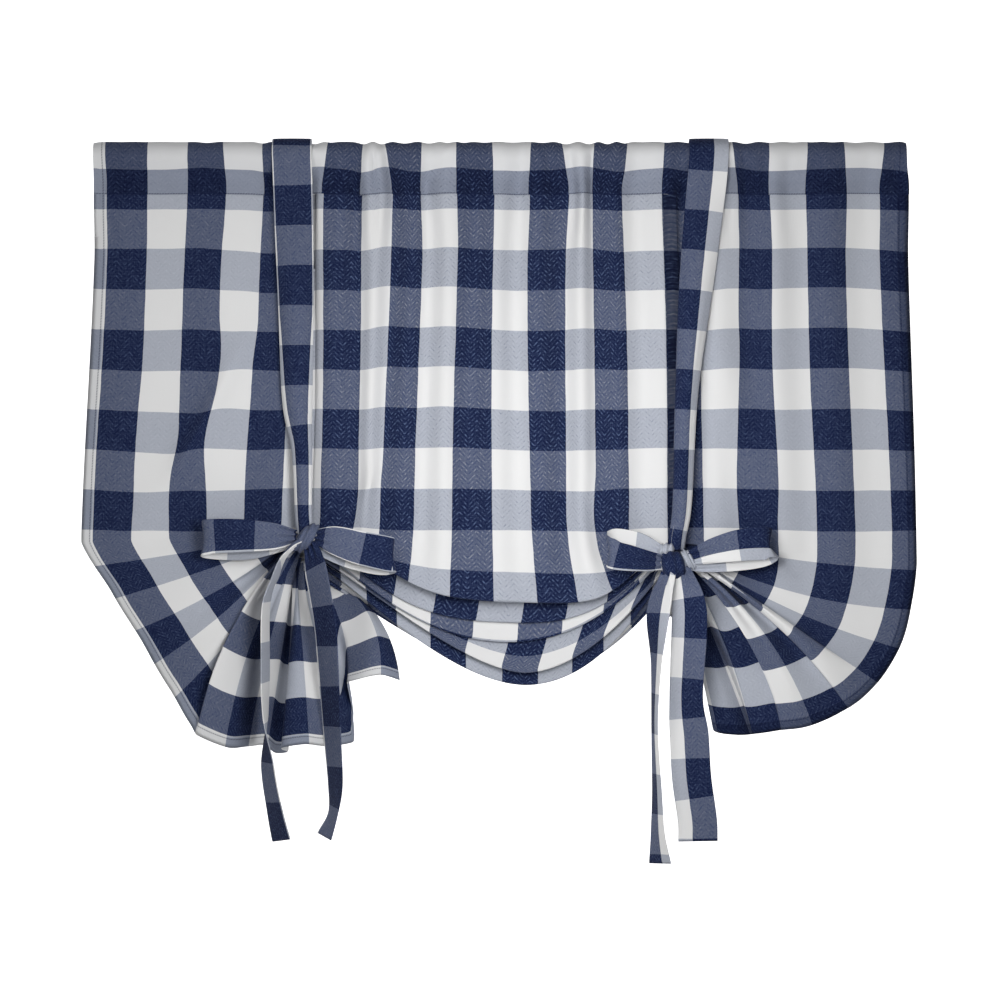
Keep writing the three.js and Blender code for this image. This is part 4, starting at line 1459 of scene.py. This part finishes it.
def doubled_mask(tree, flat_place):
    """Where two layers lie together, in the heading and the hems, which get painted shade as less light comes
    through.
    """
    across, down = flat_axes(tree, flat_place)
    left = math_node(tree, "LESS_THAN", across, (HEM - FIRST_NAVY_ACROSS) * MM)
    right = math_node(tree, "GREATER_THAN", across, (CUT_WIDTH - HEM - FIRST_NAVY_ACROSS) * MM)
    top = math_node(tree, "LESS_THAN", down, (POCKET_DROP - FIRST_NAVY_DOWN) * MM)
    end = math_node(tree, "GREATER_THAN", down, (CUT_LENGTH - HEM - FIRST_NAVY_DOWN) * MM)
    return any_of(tree, [left, right, top, end])


print("one stitch every", round(STITCH_LENGTH / MM, 1), "mm")

# %% [markdown]
# ## Cloth finishes
# Washed cotton has no shine, only a faint sheen at grazing angles. The panel and the straps share the check
# group. The panel's back shows the other mixed squares. Its doubled cloth gets a painted shade, darker and a
# little bluer, the white squares less so, for the light that doesn't come through two layers. The stitches
# lie in the cloth.

# %% Cloth materials
WHITE = (1, 1, 1, 1)
ROUGHNESS = 0.95
GLOSS = 0.08
SHEEN = 0.03
# painted shade for doubled cloth, where less light comes through two layers
DOUBLED_PAINTED_SHADE = (0.25, 0.3, 0.42, 1)
DOUBLED_DARK = 0.5
DOUBLED_WHITE = 0.12
PALE_ABOVE = 0.6
STITCH_SHOWN = 0.55
WEAVE_STRENGTH = 0.35
WEAVE_DEPTH = 0.0006


def doubled_painted_shade(tree, colour, flat_place):
    """The colour darkened by painted shade where two layers lie together and less light comes through."""
    brightness = add_node(tree, "ShaderNodeRGBToBW")
    join(tree, colour, brightness.inputs[0])
    pale = math_node(tree, "GREATER_THAN", brightness.outputs[0], PALE_ABOVE)
    spared = math_node(tree, "MULTIPLY", pale, DOUBLED_DARK - DOUBLED_WHITE)
    shade = math_node(tree, "SUBTRACT", DOUBLED_DARK, spared)
    share = math_node(tree, "MULTIPLY", doubled_mask(tree, flat_place), shade)
    dense = mix_colours(tree, share, WHITE, DOUBLED_PAINTED_SHADE)
    return mix_colours(tree, 1, colour, dense, blend="MULTIPLY")


def cloth_material(name, two_faced):
    """Washed cotton: check, weave bump and, on the panel, the back, painted shade on the hems, and the seams.
    """
    material = bpy.data.materials.new(name)
    material.use_nodes = True
    tree = material.node_tree
    shader = tree.nodes["Principled BSDF"]
    shader.inputs["Roughness"].default_value = ROUGHNESS
    shader.inputs["Specular IOR Level"].default_value = GLOSS
    shader.inputs["Sheen Weight"].default_value = SHEEN
    flat_place = add_node(tree, "ShaderNodeUVMap").outputs[0]
    weave = add_node(tree, "ShaderNodeGroup", node_tree=check)
    join(tree, flat_place, weave.inputs["Flat place"])
    colour = weave.outputs["Face"]
    height = weave.outputs["Yarn height"]
    if two_faced:
        behind = add_node(tree, "ShaderNodeNewGeometry").outputs["Backfacing"]
        colour = mix_colours(tree, behind, weave.outputs["Face"], weave.outputs["Back"])
        # painted shade on the doubled heading and hems
        colour = doubled_painted_shade(tree, colour, flat_place)
        stitches = stitch_mask(tree, flat_place)
        colour = mix_colours(tree, math_node(tree, "MULTIPLY", stitches, STITCH_SHOWN), colour, YARN_NAVY)
        height = math_node(tree, "SUBTRACT", height, stitches)
    join(tree, colour, shader.inputs["Base Color"])
    bump = add_node(tree, "ShaderNodeBump")
    bump.inputs["Strength"].default_value = WEAVE_STRENGTH
    bump.inputs["Distance"].default_value = WEAVE_DEPTH
    join(tree, height, bump.inputs["Height"])
    join(tree, bump.outputs[0], shader.inputs["Normal"])
    return material


panel_cloth = cloth_material("checked cotton", True)
strap_cloth = cloth_material("checked strap", False)
for piece in (panel, heading):
    piece.data.materials.append(panel_cloth)
for piece in (tie_left, tie_right):
    piece.data.materials.append(strap_cloth)
print("cloth finishes:", panel_cloth.name, "and", strap_cloth.name)

# %% [markdown]
# ## Floor and backdrop
# A pale floor sweeps up into a pale backdrop, like a roll of paper in a studio. The backdrop glows a little
# and is clear from behind, so the back of the shade can be looked at too.

# %% Backdrop shape
FLOOR_Z = -1.35
FLOOR_HALF = 5
BACKDROP_Y = 1.6
SWEEP_RADIUS = 0.6
SWEEP_STEPS = 16
WALL_HEIGHT = 5
FACING_DOWN = -0.5
NEARLY = 0.01


def backdrop():
    """A floor strip bent up at the back by spinning its far edge."""
    shape = bmesh.new()
    made = bmesh.ops.create_grid(shape, x_segments=2, y_segments=2, size=FLOOR_HALF)
    for vert in made["verts"]:
        vert.co.z = FLOOR_Z
        if vert.co.y > FLOOR_HALF - NEARLY:
            vert.co.y = BACKDROP_Y
    far = [edge for edge in shape.edges if all(vert.co.y > BACKDROP_Y - NEARLY for vert in edge.verts)]
    spun = bmesh.ops.spin(
        shape,
        geom=far,
        cent=(0, BACKDROP_Y, FLOOR_Z + SWEEP_RADIUS),
        axis=(1, 0, 0),
        angle=math.radians(90),
        steps=SWEEP_STEPS,
    )
    last = [item for item in spun["geom_last"] if isinstance(item, bmesh.types.BMEdge)]
    raised = bmesh.ops.extrude_edge_only(shape, edges=last)
    for item in raised["geom"]:
        if isinstance(item, bmesh.types.BMVert):
            item.co.z += WALL_HEIGHT
    bmesh.ops.recalc_face_normals(shape, faces=shape.faces)
    if min(face.normal.z for face in shape.faces) < FACING_DOWN:
        bmesh.ops.reverse_faces(shape, faces=shape.faces)
    for face in shape.faces:
        face.smooth = True
    return finish_piece("backdrop", shape)


floor = backdrop()

# %% Backdrop paper
PAPER = (0.94, 0.94, 0.94, 1)
BLACK = (0, 0, 0, 1)
WALL_GLOW = 1.0

paper = bpy.data.materials.new("backdrop paper")
paper.use_nodes = True
tree = paper.node_tree
shader = tree.nodes["Principled BSDF"]
shader.inputs["Base Color"].default_value = PAPER
shader.inputs["Roughness"].default_value = 1
shader.inputs["Emission Strength"].default_value = WALL_GLOW
paper_place = add_node(tree, "ShaderNodeTexCoord").outputs["Object"]
paper_depth = flat_axes(tree, paper_place)[1]
on_wall = math_node(tree, "GREATER_THAN", paper_depth, BACKDROP_Y)
join(tree, mix_colours(tree, on_wall, BLACK, WHITE), shader.inputs["Emission Color"])
seen_behind = add_node(tree, "ShaderNodeNewGeometry").outputs["Backfacing"]
clear = add_node(tree, "ShaderNodeBsdfTransparent")
one_sided = add_node(tree, "ShaderNodeMixShader")
join(tree, seen_behind, one_sided.inputs[0])
join(tree, shader.outputs[0], one_sided.inputs[1])
join(tree, clear.outputs[0], one_sided.inputs[2])
join(tree, one_sided.outputs[0], tree.nodes["Material Output"].inputs["Surface"])
floor.data.materials.append(paper)
print("backdrop paper has", len(tree.nodes), "nodes")

# %% [markdown]
# ## Light
# One light above and to the left of the camera gives the folds their shade. A small one in front brightens
# the middle, as light that comes through the cloth does in the photograph, and a fill opens the right side.
# The world adds a little light from all round.

# %% Lights
LIGHTS = dict(
    key=dict(place=(-1.5, -2.2, 1.0), target=(0, 0, -0.45), size=0.7, power=16.5),
    fill=dict(place=(1.9, -2.6, -0.1), target=(0, 0, -0.45), size=1.6, power=4),
    front=dict(place=(0.05, -0.75, -0.40), target=(0.05, 0, -0.42), size=0.35, power=4.2),
)
ROOM_LIGHT = 0.2


def area_light(name, place, target, size, power):
    """A round light that faces its target."""
    data = bpy.data.lights.new(name, "AREA")
    data.shape = "DISK"
    data.size = size
    data.energy = power
    light = bpy.data.objects.new(name, data)
    light.location = place
    way = np.array(target, dtype=float) - np.array(place, dtype=float)
    tilt = math.acos(-way[2] / np.linalg.norm(way))
    light.rotation_euler = (tilt, 0, math.atan2(way[0], -way[1]) + math.pi)
    bpy.context.collection.objects.link(light)


for name, settings in LIGHTS.items():
    area_light(name, **settings)
world = bpy.data.worlds.new("pale room")
world.use_nodes = True
background = world.node_tree.nodes["Background"]
background.inputs["Color"].default_value = WHITE
background.inputs["Strength"].default_value = ROOM_LIGHT
bpy.context.scene.world = world
bpy.context.scene.view_settings.view_transform = "Standard"
print(len(LIGHTS), "lights")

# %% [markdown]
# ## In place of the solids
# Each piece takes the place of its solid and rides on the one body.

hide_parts("panel")
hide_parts("rod_pocket")
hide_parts("tie_left")
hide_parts("tie_right")
for piece in (panel, heading, tie_left, tie_right):
    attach(piece, "root")
